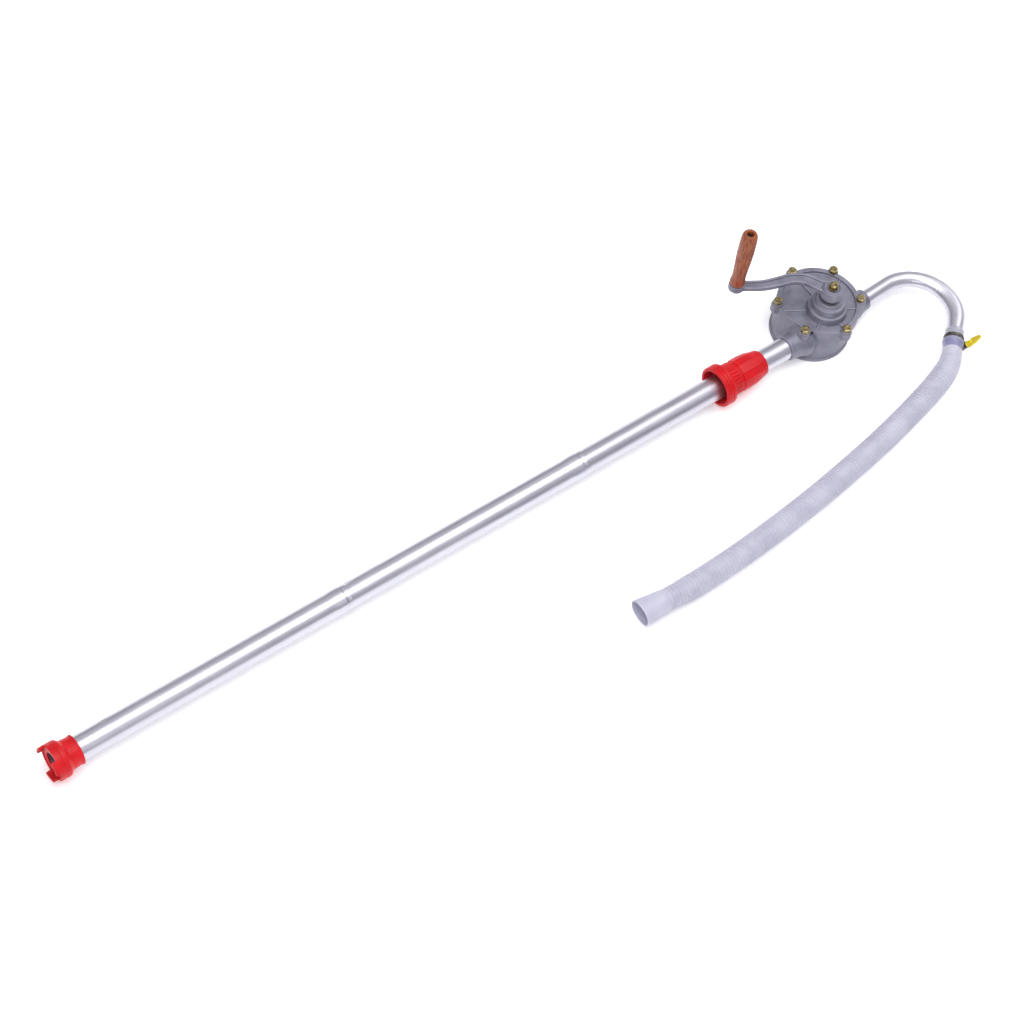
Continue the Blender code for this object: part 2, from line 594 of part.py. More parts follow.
def make_cover_bolts(finish):
    for i, spot in enumerate(BOLT_SPOTS):
        hex_bolt(f"cover_bolt_{i + 1}", BOLT_HEAD_FLATS, BOLT_HEAD, BOLT_RADIUS, BOLT_LENGTH, finish,
                 Vector((*spot, COVER_TOP + FIT_GAP)))


# ---------------------------------------------------------------- drive
def make_bushes(bronze, rubber):
    ring("rear_bush", SHAFT_RADIUS + FIT_GAP, BUSH_RADIUS, REAR_BUSH_DEPTH - 2 * FIT_GAP, bronze,
         at=(0, 0, CHAMBER_FLOOR - REAR_BUSH_DEPTH + FIT_GAP), sides=FEW_SIDES)
    ring("cover_bush", SHAFT_RADIUS + FIT_GAP, BUSH_RADIUS, COVER_BUSH_LENGTH - FIT_GAP, bronze,
         at=(0, 0, COVER_BOTTOM + FIT_GAP), sides=FEW_SIDES)
    lip = SHAFT_RADIUS + FIT_GAP
    turned("shaft_seal", [
        (lip, 0), (SEAL_RADIUS, 0), (SEAL_RADIUS, SEAL_DEPTH - FIT_GAP), (lip + 0.002, SEAL_DEPTH - FIT_GAP),
        (lip + 0.001, SEAL_DEPTH * 0.6), (lip, SEAL_DEPTH * 0.5),
    ], rubber, at=(0, 0, TIER_TOPS[-1] - SEAL_DEPTH), sides=FEW_SIDES)


def make_shaft(finish):
    """Round journals in the two bushes, a square through the rotor and a square for the crank."""
    foot = CHAMBER_FLOOR - REAR_BUSH_DEPTH + FIT_GAP
    shaft = rod("drive_shaft", SHAFT_RADIUS, CHAMBER_FLOOR - foot, finish, at=(0, 0, foot), sides=FEW_SIDES)
    drive = square_bar("rotor_square_tool", SHAFT_FLAT, CHAMBER_FLOOR - 0.001, COVER_BOTTOM + 0.001)
    journal = rod("upper_journal_tool", SHAFT_RADIUS, TIER_TOPS[-1] + 0.001 - COVER_BOTTOM,
                  at=(0, 0, COVER_BOTTOM), sides=FEW_SIDES)
    head = square_bar("crank_square_tool", SHAFT_FLAT, TIER_TOPS[-1] - 0.001, CRANK_TOP - 0.0015)
    join(shaft, drive, journal, head)
    cut(shaft, rod("crank_thread_tool", BOLT_RADIUS + FIT_GAP, 0.05, sides=16,
                   at=(0, 0, CRANK_TOP - CRANK_BOLT_SHANK - 0.002)))


def slot_angles():
    return [math.pi / 4 + 2 * math.pi * i / VANE_COUNT for i in range(VANE_COUNT)]


def make_rotor(finish):
    rotor = rod("rotor", ROTOR_RADIUS, ROTOR_TOP - ROTOR_BOTTOM, finish, at=(0, 0, ROTOR_BOTTOM))
    cut(rotor, square_bar("rotor_bore_tool",
                          SHAFT_FLAT + 2 * FIT_GAP, ROTOR_BOTTOM - CLEAR, ROTOR_TOP + CLEAR))
    for i, angle in enumerate(slot_angles()):
        reach = ROTOR_RADIUS + CLEAR - SLOT_INNER_RADIUS
        middle = SLOT_INNER_RADIUS + reach / 2
        size = (reach, VANE_THICKNESS + 2 * FIT_GAP, ROTOR_TOP - ROTOR_BOTTOM + 2 * CLEAR)
        slot = block(f"vane_slot_tool_{i}", size,
                     (middle * math.cos(angle), middle * math.sin(angle), (ROTOR_BOTTOM + ROTOR_TOP) / 2))
        slot.rotation_euler.z = angle
        cut(rotor, slot)


def make_vanes(vane_finish, spring_finish):
    outer = ROTOR_RADIUS - FIT_GAP
    length = outer - VANE_INNER_RADIUS
    height = ROTOR_TOP - ROTOR_BOTTOM - 2 * FIT_GAP
    middle_z = (ROTOR_TOP + ROTOR_BOTTOM) / 2
    for i, angle in enumerate(slot_angles()):
        heading = Vector((math.cos(angle), math.sin(angle), 0))
        vane = block(f"vane_{i + 1}", (length, VANE_THICKNESS, height),
                     (VANE_INNER_RADIUS + length / 2) * heading + Vector((0, 0, middle_z)), vane_finish)
        vane.rotation_euler.z = angle
        edge = vane.modifiers.new("rounded tip", "BEVEL")
        edge.width = 0.0008
        edge.segments = 1
        first = SLOT_INNER_RADIUS + SPRING_WIRE + FIT_GAP
        last = VANE_INNER_RADIUS - SPRING_WIRE - FIT_GAP
        across = Vector((-heading.y, heading.x, 0))
        steps = 7 * SPRING_TURNS
        path = []
        for k in range(steps + 1):
            a = 2 * math.pi * SPRING_TURNS * k / steps
            path.append((first + (last - first) * k / steps) * heading
                        + SPRING_RADIUS * (math.cos(a) * across + math.sin(a) * Vector((0, 0, 1)))
                        + Vector((0, 0, middle_z)))
        tube_curve(f"vane_spring_{i + 1}", path, SPRING_WIRE, spring_finish, resolution=0)


def make_crank(finish):
    """Cast arm: a hub on the shaft's square, an S-shaped web and a boss that holds the grip's spindle."""
    hub = turned("crank_arm", [
        (0, HUB_BOTTOM), (HUB_RADIUS - CHAMFER, HUB_BOTTOM), (HUB_RADIUS, HUB_BOTTOM + CHAMFER),
        (HUB_RADIUS, HUB_SKIRT_TOP), (HUB_NECK_RADIUS, HUB_SKIRT_TOP + HUB_CONE),
        (HUB_NECK_RADIUS - 0.4 * CHAMFER, HUB_TOP), (HUB_COLLAR_RADIUS, HUB_TOP),
        (HUB_COLLAR_RADIUS - 0.6 * CHAMFER, CRANK_TOP), (0, CRANK_TOP),
    ], finish)
    path = [Vector((p.x, p.y)) for p in smooth_path([(*p, 0) for p in ARM_ROUTE], 0.006)]
    total = sum((b - a).length for a, b in zip(path, path[1:]))
    left, right = [], []
    walked = 0.0
    for i, place in enumerate(path):
        if i:
            walked += (place - path[i - 1]).length
        ahead = (path[min(i + 1, len(path) - 1)] - path[max(i - 1, 0)]).normalized()
        side = Vector((-ahead.y, ahead.x))
        share = walked / total
        half = (ARM_WIDTH_HUB + (ARM_WIDTH_END - ARM_WIDTH_HUB) * share ** 0.6) / 2
        left.append(place + half * side)
        right.append(place - half * side)
    web = prism("crank_web_tool", [tuple(p) for p in left + right[::-1]], ARM_BOTTOM, ARM_TOP)
    end = turned("crank_end_boss_tool", [
        (0, END_BOSS_BOTTOM), (END_BOSS_RADIUS - CHAMFER, END_BOSS_BOTTOM),
        (END_BOSS_RADIUS, END_BOSS_BOTTOM + CHAMFER), (END_BOSS_RADIUS, END_BOSS_TOP - CHAMFER),
        (END_BOSS_RADIUS - CHAMFER, END_BOSS_TOP), (0, END_BOSS_TOP),
    ], at=(*GRIP_SPOT, 0), sides=FEW_SIDES)
    join(hub, web, end)
    cut(hub, square_bar("crank_bore_tool", SHAFT_FLAT + 2 * FIT_GAP, HUB_BOTTOM - CLEAR, CRANK_TOP + CLEAR))
    cut(hub, rod("spindle_hole_tool", SPINDLE_RADIUS + FIT_GAP, END_BOSS_TOP - END_BOSS_BOTTOM + 2 * CLEAR,
                 at=(*GRIP_SPOT, END_BOSS_BOTTOM - CLEAR), sides=20))


def make_crank_fixing(zinc):
    ring("crank_washer", BOLT_RADIUS + 2 * FIT_GAP, CRANK_WASHER_RADIUS, CRANK_WASHER, zinc,
         at=(0, 0, CRANK_TOP + FIT_GAP), sides=FEW_SIDES)
    hex_bolt("crank_bolt", BOLT_HEAD_FLATS, BOLT_HEAD, BOLT_RADIUS, CRANK_BOLT_SHANK, zinc,
             Vector((0, 0, CRANK_TOP + CRANK_WASHER + 2 * FIT_GAP)))


def make_grip(wood, steel):
    spot = (*GRIP_SPOT, 0)
    head_bottom = GRIP_TOP - GRIP_RECESS + FIT_GAP
    foot_top = END_BOSS_BOTTOM - FIT_GAP
    foot_bottom = foot_top - SPINDLE_FOOT_DROP
    foot_radius = SPINDLE_RADIUS + SPINDLE_FOOT
    head_edge = SPINDLE_HEAD / 3
    turned("grip_spindle", [
        (0, foot_bottom), (foot_radius - head_edge, foot_bottom), (foot_radius, foot_bottom + head_edge),
        (foot_radius, foot_top), (SPINDLE_RADIUS, foot_top),
        (SPINDLE_RADIUS, head_bottom), (SPINDLE_HEAD_RADIUS, head_bottom),
        (SPINDLE_HEAD_RADIUS - head_edge, head_bottom + SPINDLE_HEAD), (0, head_bottom + SPINDLE_HEAD),
    ], steel, at=spot, sides=20)
    ring("grip_washer", SPINDLE_RADIUS + FIT_GAP, GRIP_BASE_RADIUS - CHAMFER,
         GRIP_BASE - END_BOSS_TOP - 2 * FIT_GAP, steel, at=(*GRIP_SPOT, END_BOSS_TOP + FIT_GAP), sides=20)
    turned("wooden_grip", [
        (GRIP_BORE, GRIP_BASE),
        (GRIP_BASE_RADIUS - CHAMFER, GRIP_BASE), (GRIP_BASE_RADIUS, GRIP_BASE + CHAMFER),
        (GRIP_BASE_RADIUS, GRIP_BASE + 0.06 * GRIP_LENGTH),
        (GRIP_BASE_RADIUS - GRIP_BASE_FLARE, GRIP_BASE + 0.16 * GRIP_LENGTH),
        (GRIP_MIDDLE_RADIUS, GRIP_BASE + 0.62 * GRIP_LENGTH),
        (GRIP_MIDDLE_RADIUS, GRIP_BASE + 0.75 * GRIP_LENGTH),
        (GRIP_TOP_RADIUS, GRIP_TOP - GRIP_TOP_EDGE),
        (GRIP_TOP_RADIUS - 0.3 * GRIP_TOP_EDGE, GRIP_TOP - CHAMFER),
        (GRIP_TOP_RADIUS - GRIP_TOP_EDGE, GRIP_TOP), (GRIP_RECESS_RADIUS, GRIP_TOP),
        (GRIP_RECESS_RADIUS, GRIP_TOP - GRIP_RECESS), (GRIP_BORE, GRIP_TOP - GRIP_RECESS),
    ], wood, at=spot, sides=FEW_SIDES)


# ---------------------------------------------------------------- suction side
def along_tube(name, profile, finish, sides=SIDES):
    """A turned piece on the suction tube's axis, from points of (radius, x)."""
    points = [(r, -x) for r, x in profile]
    return turned(name, points, finish, at=TUBE_AXIS, along=(-1, 0, 0), sides=sides)


def turned_ring(name, inner, outer, x, length, finish):
    start = TUBE_AXIS + Vector((x, 0, 0))
    ring(name, inner, outer, length, finish, at=start, along=(1, 0, 0), sides=TUBE_SIDES)


def tube_profile(top, neck_top, seam):
    """Outer side down and inner side back up. The top is a neck or a bell, the foot end a spigot or plain."""
    wall = TUBE_WALL
    if neck_top:
        outer = [(NECK_RADIUS, top), (NECK_RADIUS, NECK_END), (TUBE_RADIUS, NECK_END - 0.004)]
    else:
        bell = BELL_BORE + wall
        outer = [(bell, top), (bell, top - SPIGOT_LENGTH), (TUBE_RADIUS, top - SPIGOT_LENGTH - 0.0015)]
    if seam is None:
        outer.append((TUBE_RADIUS, TUBE_END))
    else:
        shoulder = seam + FIT_GAP
        outer += [(TUBE_RADIUS, shoulder), (SPIGOT_RADIUS, shoulder - 0.0002),
                  (SPIGOT_RADIUS, seam - SPIGOT_LENGTH + FIT_GAP)]
    inner = [(r - wall, x) for r, x in outer[::-1]]
    if seam is not None:
        # The bore narrows before the spigot begins, so that the wall keeps its thickness at the shoulder.
        inner[1] = (SPIGOT_RADIUS - wall, seam + 0.0012)
        inner[2] = (TUBE_RADIUS - wall, seam + 0.0024)
    return outer + inner


def make_tubes(finish):
    along_tube("tube_section_1", tube_profile(TUBE_TOP, True, SEAMS[0]), finish, sides=TUBE_SIDES)
    along_tube("tube_section_2", tube_profile(SEAMS[0], False, SEAMS[1]), finish, sides=TUBE_SIDES)
    along_tube("tube_section_3", tube_profile(SEAMS[1], False, None), finish, sides=TUBE_SIDES)


def make_foot_strainer(finish):
    lip = TUBE_END + FOOT_GRIP
    ring_start = lip - FOOT_RING_START
    ring_end = ring_start - FOOT_RING_LENGTH
    tip = ring_end - PRONG_LENGTH
    bore = TUBE_RADIUS + FIT_GAP
    stop = TUBE_END - FIT_GAP
    strainer = along_tube("foot_strainer", [
        (bore, lip), (FOOT_NECK_RADIUS + 0.0006, lip), (FOOT_NECK_RADIUS - 0.0003, lip - 0.003),
        (FOOT_NECK_RADIUS, lip - 0.006), (FOOT_NECK_RADIUS + 0.0006, ring_start + 0.003),
        (FOOT_RING_RADIUS, ring_start - 0.001), (FOOT_RING_RADIUS, tip), (FOOT_RING_RADIUS - 0.0028, tip),
        (FOOT_RING_RADIUS - 0.0028, ring_end + 0.001), (FOOT_BORE_RADIUS, ring_end + 0.001),
        (FOOT_BORE_RADIUS, stop), (bore, stop),
    ], finish)
    gap = 360 / PRONG_COUNT - PRONG_SPREAD_DEG
    for i in range(PRONG_COUNT):
        # Each gap between two prongs is one wedge cut from the castellated edge.
        middle = PRONG_FIRST_DEG + 360 / PRONG_COUNT * (i + 0.5)
        reach = 2 * FOOT_RING_RADIUS
        fan = [(0, 0)]
        for a in (math.radians(middle + side * gap / 2) for side in (-1, 0, 1)):
            fan.append((reach * math.cos(a), reach * math.sin(a)))
        wedge = prism(f"prong_gap_tool_{i}", fan, -PRONG_LENGTH - CLEAR, 0)
        wedge.matrix_world = (Matrix.Translation(TUBE_AXIS + Vector((ring_end, 0, 0)))
                              @ Matrix(((0, 0, 1, 0), (1, 0, 0, 0), (0, 1, 0, 0), (0, 0, 0, 1))))
        cut(strainer, wedge)


def make_adapter(plastic, rubber, ring_finish):
    seam = COLLAR_SEAM
    band_end = seam - BAND_LENGTH
    flange_start = band_end - BAND_CONE
    rim = flange_start - FLANGE_LENGTH
    seat_floor = SLEEVE_TOP - SEAT_DEPTH
    along_tube("bung_collar", [
        (SEAT_RADIUS, SLEEVE_TOP), (SLEEVE_RADIUS - 0.5 * CHAMFER, SLEEVE_TOP),
        (SLEEVE_RADIUS, SLEEVE_TOP - CHAMFER), (SLEEVE_RADIUS, seam), (BAND_RADIUS - 0.8 * CHAMFER, seam),
        (BAND_RADIUS, seam - CHAMFER), (BAND_RADIUS, band_end), (FLANGE_OUTER_RADIUS, flange_start),
        (FLANGE_OUTER_RADIUS, rim + 4 * CHAMFER), (FLANGE_OUTER_RADIUS - CHAMFER, rim + 0.5 * CHAMFER),
        (FLANGE_OUTER_RADIUS - 1.6 * CHAMFER, rim), (CUP_RADIUS, rim),
        (CUP_RADIUS - 0.8 * CHAMFER, rim + CUP_DEPTH - 3 * CHAMFER), (ADAPTER_BORE, rim + CUP_DEPTH),
        (ADAPTER_BORE, seat_floor), (SEAT_RADIUS, seat_floor),
    ], plastic)
    bore = TUBE_RADIUS + FIT_GAP
    ring_outer = SEAT_RADIUS - FIT_GAP
    gland_start = seat_floor + FIT_GAP
    thrust_start = gland_start + GLAND_LENGTH + FIT_GAP
    thrust_end = thrust_start + THRUST_RING
    shoulder = thrust_end + FIT_GAP
    turned_ring("tube_gland", bore, ring_outer, gland_start, GLAND_LENGTH, rubber)
    turned_ring("thrust_ring", bore, ring_outer, thrust_start, THRUST_RING, ring_finish)
    nut_bottom = ADAPTER_TOP - NUT_LENGTH
    thread = SLEEVE_RADIUS + FIT_GAP
    along_tube("clamp_nut", [
        (bore, ADAPTER_TOP), (NUT_END_RADIUS - 0.0005, ADAPTER_TOP), (NUT_END_RADIUS, ADAPTER_TOP - 0.0008),
        (NUT_END_RADIUS + 0.0012, ADAPTER_TOP - 0.0075), (NUT_RADIUS - 0.0014, ADAPTER_TOP - 0.0150),
        (NUT_RADIUS - 0.0006, ADAPTER_TOP - 0.021), (NUT_RADIUS, nut_bottom + 0.012),
        (NUT_RADIUS, nut_bottom + 0.001), (NUT_RADIUS - 0.0008, nut_bottom),
        (thread, nut_bottom), (thread, SLEEVE_TOP - 0.0005), (SEAT_RADIUS, shoulder), (bore, shoulder),
    ], plastic)


# ---------------------------------------------------------------- discharge side
def spout_path():
    start = Vector((OUTLET_BOSS_END - SPOUT_SOCKET, SPOUT_Y, SPOUT_Z))
    rise = Vector((RISE_START, SPOUT_Y, SPOUT_Z))
    steps = 14
    bend = []
    for i in range(steps + 1):
        heading = RISE - math.radians(BEND_DEG) * i / steps
        bend.append(BEND_CENTRE + BEND_RADIUS * Vector((-math.sin(heading), math.cos(heading), 0)))
    return [start, rise, *bend, SPOUT_END]


def make_spout(finish):
    swept_pipe("gooseneck_spout", spout_path(), SPOUT_RADIUS - SPOUT_WALL, SPOUT_RADIUS, finish)


def make_hose(hose_finish):
    cuff_inner = SPOUT_RADIUS + FIT_GAP
    ring("hose_cuff", cuff_inner, cuff_inner + CUFF_WALL, CUFF_LENGTH, hose_finish,
         at=SPOUT_END - CUFF_LENGTH * TAIL_DIRECTION, along=TAIL_DIRECTION, sides=FEW_SIDES)
    start = SPOUT_END + FIT_GAP * TAIL_DIRECTION
    path = smooth_path([start, SPOUT_END + 0.008 * TAIL_DIRECTION, *HOSE_ROUTE], 0.036)
    tube_curve("discharge_hose", path, HOSE_RADIUS, hose_finish)


def make_hose_clamp(steel, key_plastic):
    centre = BEND_END + CLAMP_FROM_BEND * TAIL_DIRECTION
    inner = SPOUT_RADIUS + FIT_GAP + CUFF_WALL + FIT_GAP
    outer = inner + BAND_THICKNESS
    ring("clamp_band", inner, outer, BAND_WIDTH, steel,
         at=centre - BAND_WIDTH / 2 * TAIL_DIRECTION, along=TAIL_DIRECTION, sides=FEW_SIDES)
    outward = Vector((-TAIL_DIRECTION.y, TAIL_DIRECTION.x, 0))
    tilt = math.radians(CLAMP_TILT_DEG)
    radial = math.cos(tilt) * outward + math.sin(tilt) * Vector((0, 0, 1))
    tangent = -math.sin(tilt) * outward + math.cos(tilt) * Vector((0, 0, 1))
    thick, length, width = HOUSING_SIZE
    middle = centre + (outer + FIT_GAP + thick / 2) * radial
    frame = Matrix((radial, tangent, TAIL_DIRECTION)).transposed().to_4x4()
    housing = block("clamp_housing", (thick, length, width), (0, 0, 0), steel)
    housing.matrix_world = Matrix.Translation(middle) @ frame
    edge = housing.modifiers.new("rounded edges", "BEVEL")
    edge.width = 0.001
    edge.segments = 1
    cut(housing, rod("clamp_screw_hole_tool", SCREW_RADIUS + FIT_GAP, 0.05, sides=16,
                     at=middle - 0.025 * tangent, along=tangent))
    screw_start = middle - (length / 2 + 0.0015) * tangent
    turned("clamp_screw", [(0, 0), (SCREW_RADIUS - 0.0006, 0), (SCREW_RADIUS, 0.0008),
                           (SCREW_RADIUS, SCREW_LENGTH), (0, SCREW_LENGTH)],
           steel, at=screw_start, along=tangent, sides=16)
    # The key is a flat wing with a round stem that grips the screw's outer end.
    root = screw_start + (SCREW_LENGTH - 0.0035) * tangent
    stem_length = 0.008
    key = turned("clamp_key", [
        (0, 0), (SCREW_RADIUS + 0.0022, 0), (SCREW_RADIUS + 0.0016, stem_length), (0, stem_length),
    ], key_plastic, at=root, along=tangent, sides=20)
    steps = 14
    # An oval wing, a little narrower at the stem.
    wing_outline = [
        (KEY_WIDTH / 2 * math.sin(a) * (0.86 - 0.14 * math.cos(a)),
         stem_length * 0.5 + (KEY_LENGTH - stem_length * 0.5) * (1 - math.cos(a)) / 2)
        for a in (2 * math.pi * k / steps for k in range(steps))
    ]
    wing = prism("clamp_wing_tool", wing_outline, -KEY_THICKNESS / 2, KEY_THICKNESS / 2)
    wing_frame = Matrix((TAIL_DIRECTION, tangent, -radial)).transposed().to_4x4()
    wing.matrix_world = Matrix.Translation(root) @ wing_frame
    join(key, wing)
    cut(key, rod("clamp_key_bore_tool", SCREW_RADIUS + FIT_GAP, 0.0135 + FIT_GAP, sides=16,
                 at=root - 0.01 * tangent, along=tangent))


def gather_on_axis(name, spot, members):
    """Parents pieces to an empty that stands on the axis they turn about, without moving them."""
    axis = bpy.data.objects.new(name, None)
    bpy.context.scene.collection.objects.link(axis)
    axis.location = spot
    bpy.context.view_layer.update()
    for member in members:
        obj = bpy.data.objects[member]
        obj.parent = axis
        obj.matrix_parent_inverse = axis.matrix_world.inverted()


def main():
    clear_scene()
    cast_grey = material("cast_aluminium", (0.235, 0.230, 0.270), 0.55, 0.6)
    tube_metal = material("anodised_aluminium", (0.62, 0.62, 0.66), 0.28, 1.0)
    zinc = material("yellow_zinc", (0.55, 0.45, 0.22), 0.35, 0.9)
    steel = material("dark_steel", (0.20, 0.19, 0.19), 0.40, 0.9)
    bronze = material("bronze", (0.45, 0.28, 0.12), 0.40, 0.9)
    red = material("red_plastic", (0.72, 0.02, 0.03), 0.35)
    black = material("black_rubber", (0.02, 0.02, 0.02), 0.70)
    paper = material("gasket_paper", (0.30, 0.26, 0.20), 0.80)
    wood = material("varnished_wood", (0.25, 0.075, 0.035), 0.40)
    yellow = material("yellow_plastic", (0.85, 0.75, 0.03), 0.40)
    hose = material("clear_hose", (0.72, 0.71, 0.85), 0.35)
    vane_plastic = material("vane_plastic", (0.60, 0.55, 0.45), 0.50)

    make_casing(cast_grey)
    make_gasket(paper)
    make_cover(cast_grey)
    make_cover_bolts(zinc)
    make_bushes(bronze, black)
    make_shaft(steel)
    make_rotor(cast_grey)
    make_vanes(vane_plastic, steel)
    make_crank(cast_grey)
    make_crank_fixing(zinc)
    make_grip(wood, steel)
    make_tubes(tube_metal)
    make_foot_strainer(red)
    make_adapter(red, black, vane_plastic)
    make_spout(tube_metal)
    make_hose(hose)
    make_hose_clamp(steel, yellow)

    turning = ["drive_shaft", "rotor", "crank_arm", "crank_washer", "crank_bolt",
                   "grip_spindle", "grip_washer"]
    turning += [f"{piece}_{i + 1}" for piece in ("vane", "vane_spring") for i in range(VANE_COUNT)]
    gather_on_axis("crank_axis", (0, 0, 0), turning)


main()
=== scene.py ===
"""Looks of a rotary hand transfer pump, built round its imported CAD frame.

Metres, +Z up, in the frame's own axes: the drive shaft stands along +Z through the origin, the suction tube
runs along -X and the spout leaves along +X. Each sub-assembly is a class that holds its sizes, builds its
detailed meshes and dresses them; each finish is a class named for the real material.
"""

from __future__ import annotations

import json
import logging
import math
from dataclasses import dataclass
from enum import Enum
from typing import Any, Callable, Iterable, Sequence

import bmesh
import bpy
import numpy as np
from mathutils import Matrix, Vector

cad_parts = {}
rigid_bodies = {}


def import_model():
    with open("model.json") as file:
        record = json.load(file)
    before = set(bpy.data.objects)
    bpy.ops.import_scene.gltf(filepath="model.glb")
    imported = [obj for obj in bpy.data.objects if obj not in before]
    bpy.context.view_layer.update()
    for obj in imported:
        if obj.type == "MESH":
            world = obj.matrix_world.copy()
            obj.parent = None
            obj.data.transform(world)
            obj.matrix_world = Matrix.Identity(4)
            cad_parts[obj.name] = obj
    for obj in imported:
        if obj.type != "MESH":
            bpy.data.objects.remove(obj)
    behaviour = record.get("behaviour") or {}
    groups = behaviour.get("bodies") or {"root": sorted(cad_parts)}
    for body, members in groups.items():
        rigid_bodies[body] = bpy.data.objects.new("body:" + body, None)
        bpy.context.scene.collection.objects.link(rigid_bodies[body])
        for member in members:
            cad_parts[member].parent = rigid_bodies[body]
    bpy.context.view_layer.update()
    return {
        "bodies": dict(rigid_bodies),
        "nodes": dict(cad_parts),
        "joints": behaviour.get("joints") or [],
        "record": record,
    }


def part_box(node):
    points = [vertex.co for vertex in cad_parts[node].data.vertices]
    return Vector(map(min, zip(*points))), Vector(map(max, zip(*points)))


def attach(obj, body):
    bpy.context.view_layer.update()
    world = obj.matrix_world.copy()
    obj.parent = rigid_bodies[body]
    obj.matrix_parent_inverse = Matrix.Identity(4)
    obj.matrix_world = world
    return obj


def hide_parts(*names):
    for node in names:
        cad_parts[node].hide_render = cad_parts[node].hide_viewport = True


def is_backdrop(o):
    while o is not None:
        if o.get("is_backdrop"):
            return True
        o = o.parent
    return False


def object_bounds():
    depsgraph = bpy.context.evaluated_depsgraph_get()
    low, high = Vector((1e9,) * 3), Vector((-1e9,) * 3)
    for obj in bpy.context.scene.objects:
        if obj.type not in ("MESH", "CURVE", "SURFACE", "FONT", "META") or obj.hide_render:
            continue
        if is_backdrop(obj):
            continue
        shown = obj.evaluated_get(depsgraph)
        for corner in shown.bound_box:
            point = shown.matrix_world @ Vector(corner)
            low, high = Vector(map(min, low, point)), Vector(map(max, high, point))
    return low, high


LOG = logging.getLogger("pump")
MM = 0.001
X, Y, Z = Vector((1, 0, 0)), Vector((0, 1, 0)), Vector((0, 0, 1))

Profile = Sequence[tuple[float, float]]
Shape = Callable[[float, float, float], tuple[float, float]]


class Body(str, Enum):
    """The CAD bodies that pieces ride on."""

    HOUSING = "housing"
    CRANK = "crank"
    GRIP = "grip"
    GLAND = "gland"
    COLLAR = "collar"
    THRUST = "thrust"
    NUT = "nut"
    MIDDLE_TUBE = "middle_tube"
    FOOT_TUBE = "foot_tube"
    KEY = "key"


class Slot(str, Enum):
    """The record's material slots."""

    CASTING = "cast_aluminium"
    TUBE = "tube_aluminium"
    RED = "red_plastic"
    RUBBER = "black_rubber"
    PAPER = "gasket_paper"
    ZINC = "yellow_zinc"
    STEEL = "dark_steel"
    BRONZE = "bronze"
    ROTOR = "rotor_aluminium"
    VANE = "vane_plastic"
    WOOD = "varnished_wood"
    YELLOW = "yellow_plastic"
    HOSE = "clear_hose"


# ------------------------------------------------------------------------------------------- finishes
def linear(code: str) -> tuple[float, float, float, float]:
    """Turns an sRGB hex colour into linear light.

    Args:
        code: six hex digits after a hash sign.

    Returns:
        Red, green, blue and an alpha of one.
    """
    shares = [int(code[i : i + 2], 16) / 255 for i in (1, 3, 5)]
    return (*(s / 12.92 if s <= 0.04045 else ((s + 0.055) / 1.055) ** 2.4 for s in shares), 1.0)


def add_node(
    tree: bpy.types.NodeTree, kind: str, inputs: dict[str | int, Any] | None = None, **settings: Any
) -> bpy.types.Node:
    """Adds one node to a tree.

    Args:
        tree: the tree that gets the node.
        kind: the node's type without its ShaderNode prefix.
        inputs: for each input, the socket that feeds it or its constant value.
        settings: attributes of the node itself.

    Returns:
        The new node.
    """
    node = tree.nodes.new(f"ShaderNode{kind}")
    for name, value in settings.items():
        setattr(node, name, value)
    for name, value in (inputs or {}).items():
        if isinstance(value, bpy.types.NodeSocket):
            tree.links.new(value, node.inputs[name])
        else:
            node.inputs[name].default_value = value
    return node


def ramp(
    tree: bpy.types.NodeTree, factor: bpy.types.NodeSocket, stops: Sequence[tuple[float, str]]
) -> bpy.types.NodeSocket:
    """Colours a factor by hex stops.

    Args:
        tree: the tree that gets the ramp.
        factor: the socket that drives it.
        stops: places from 0 to 1 and their colours, in order.

    Returns:
        The colour socket.
    """
    node = add_node(tree, "ValToRGB", {"Fac": factor})
    elements = node.color_ramp.elements
    while len(elements) < len(stops):
        elements.new(0.5)
    for element, (place, colour) in zip(elements, stops):
        element.position = place
        element.color = linear(colour)
    return node.outputs["Color"]


@dataclass(frozen=True)
class Finish:
    """What every finish shares: one Principled shader with constants, then its own pattern."""

    name: str = "finish"
    colour: str = "#808080"
    roughness: float = 0.5
    metallic: float = 0.0

    def material(self) -> bpy.types.Material:
        """Builds the material.

        Returns:
            A material with a Principled shader and this finish's pattern.
        """
        made = bpy.data.materials.new(self.name)
        made.use_nodes = True
        tree = made.node_tree
        shader = tree.nodes["Principled BSDF"]
        shader.inputs["Base Color"].default_value = linear(self.colour)
        shader.inputs["Roughness"].default_value = self.roughness
        shader.inputs["Metallic"].default_value = self.metallic
        self.pattern(tree, shader, add_node(tree, "TexCoord").outputs["Object"])
        return made

    def pattern(self, tree: bpy.types.NodeTree, shader: bpy.types.Node, place: bpy.types.NodeSocket) -> None:
        """Adds colour variation and relief; the plain finish has a faint mottle only."""
        cloud = add_node(tree, "TexNoise", {"Vector": place, "Scale": 1 / (6 * MM), "Detail": 3.0})
        mixed = add_node(
            tree, "Mix", {0: 0.12, 6: linear(self.colour), 7: cloud.outputs["Color"]}, data_type="RGBA",
            blend_type="OVERLAY",
        )
        tree.links.new(mixed.outputs[2], shader.inputs["Base Color"])


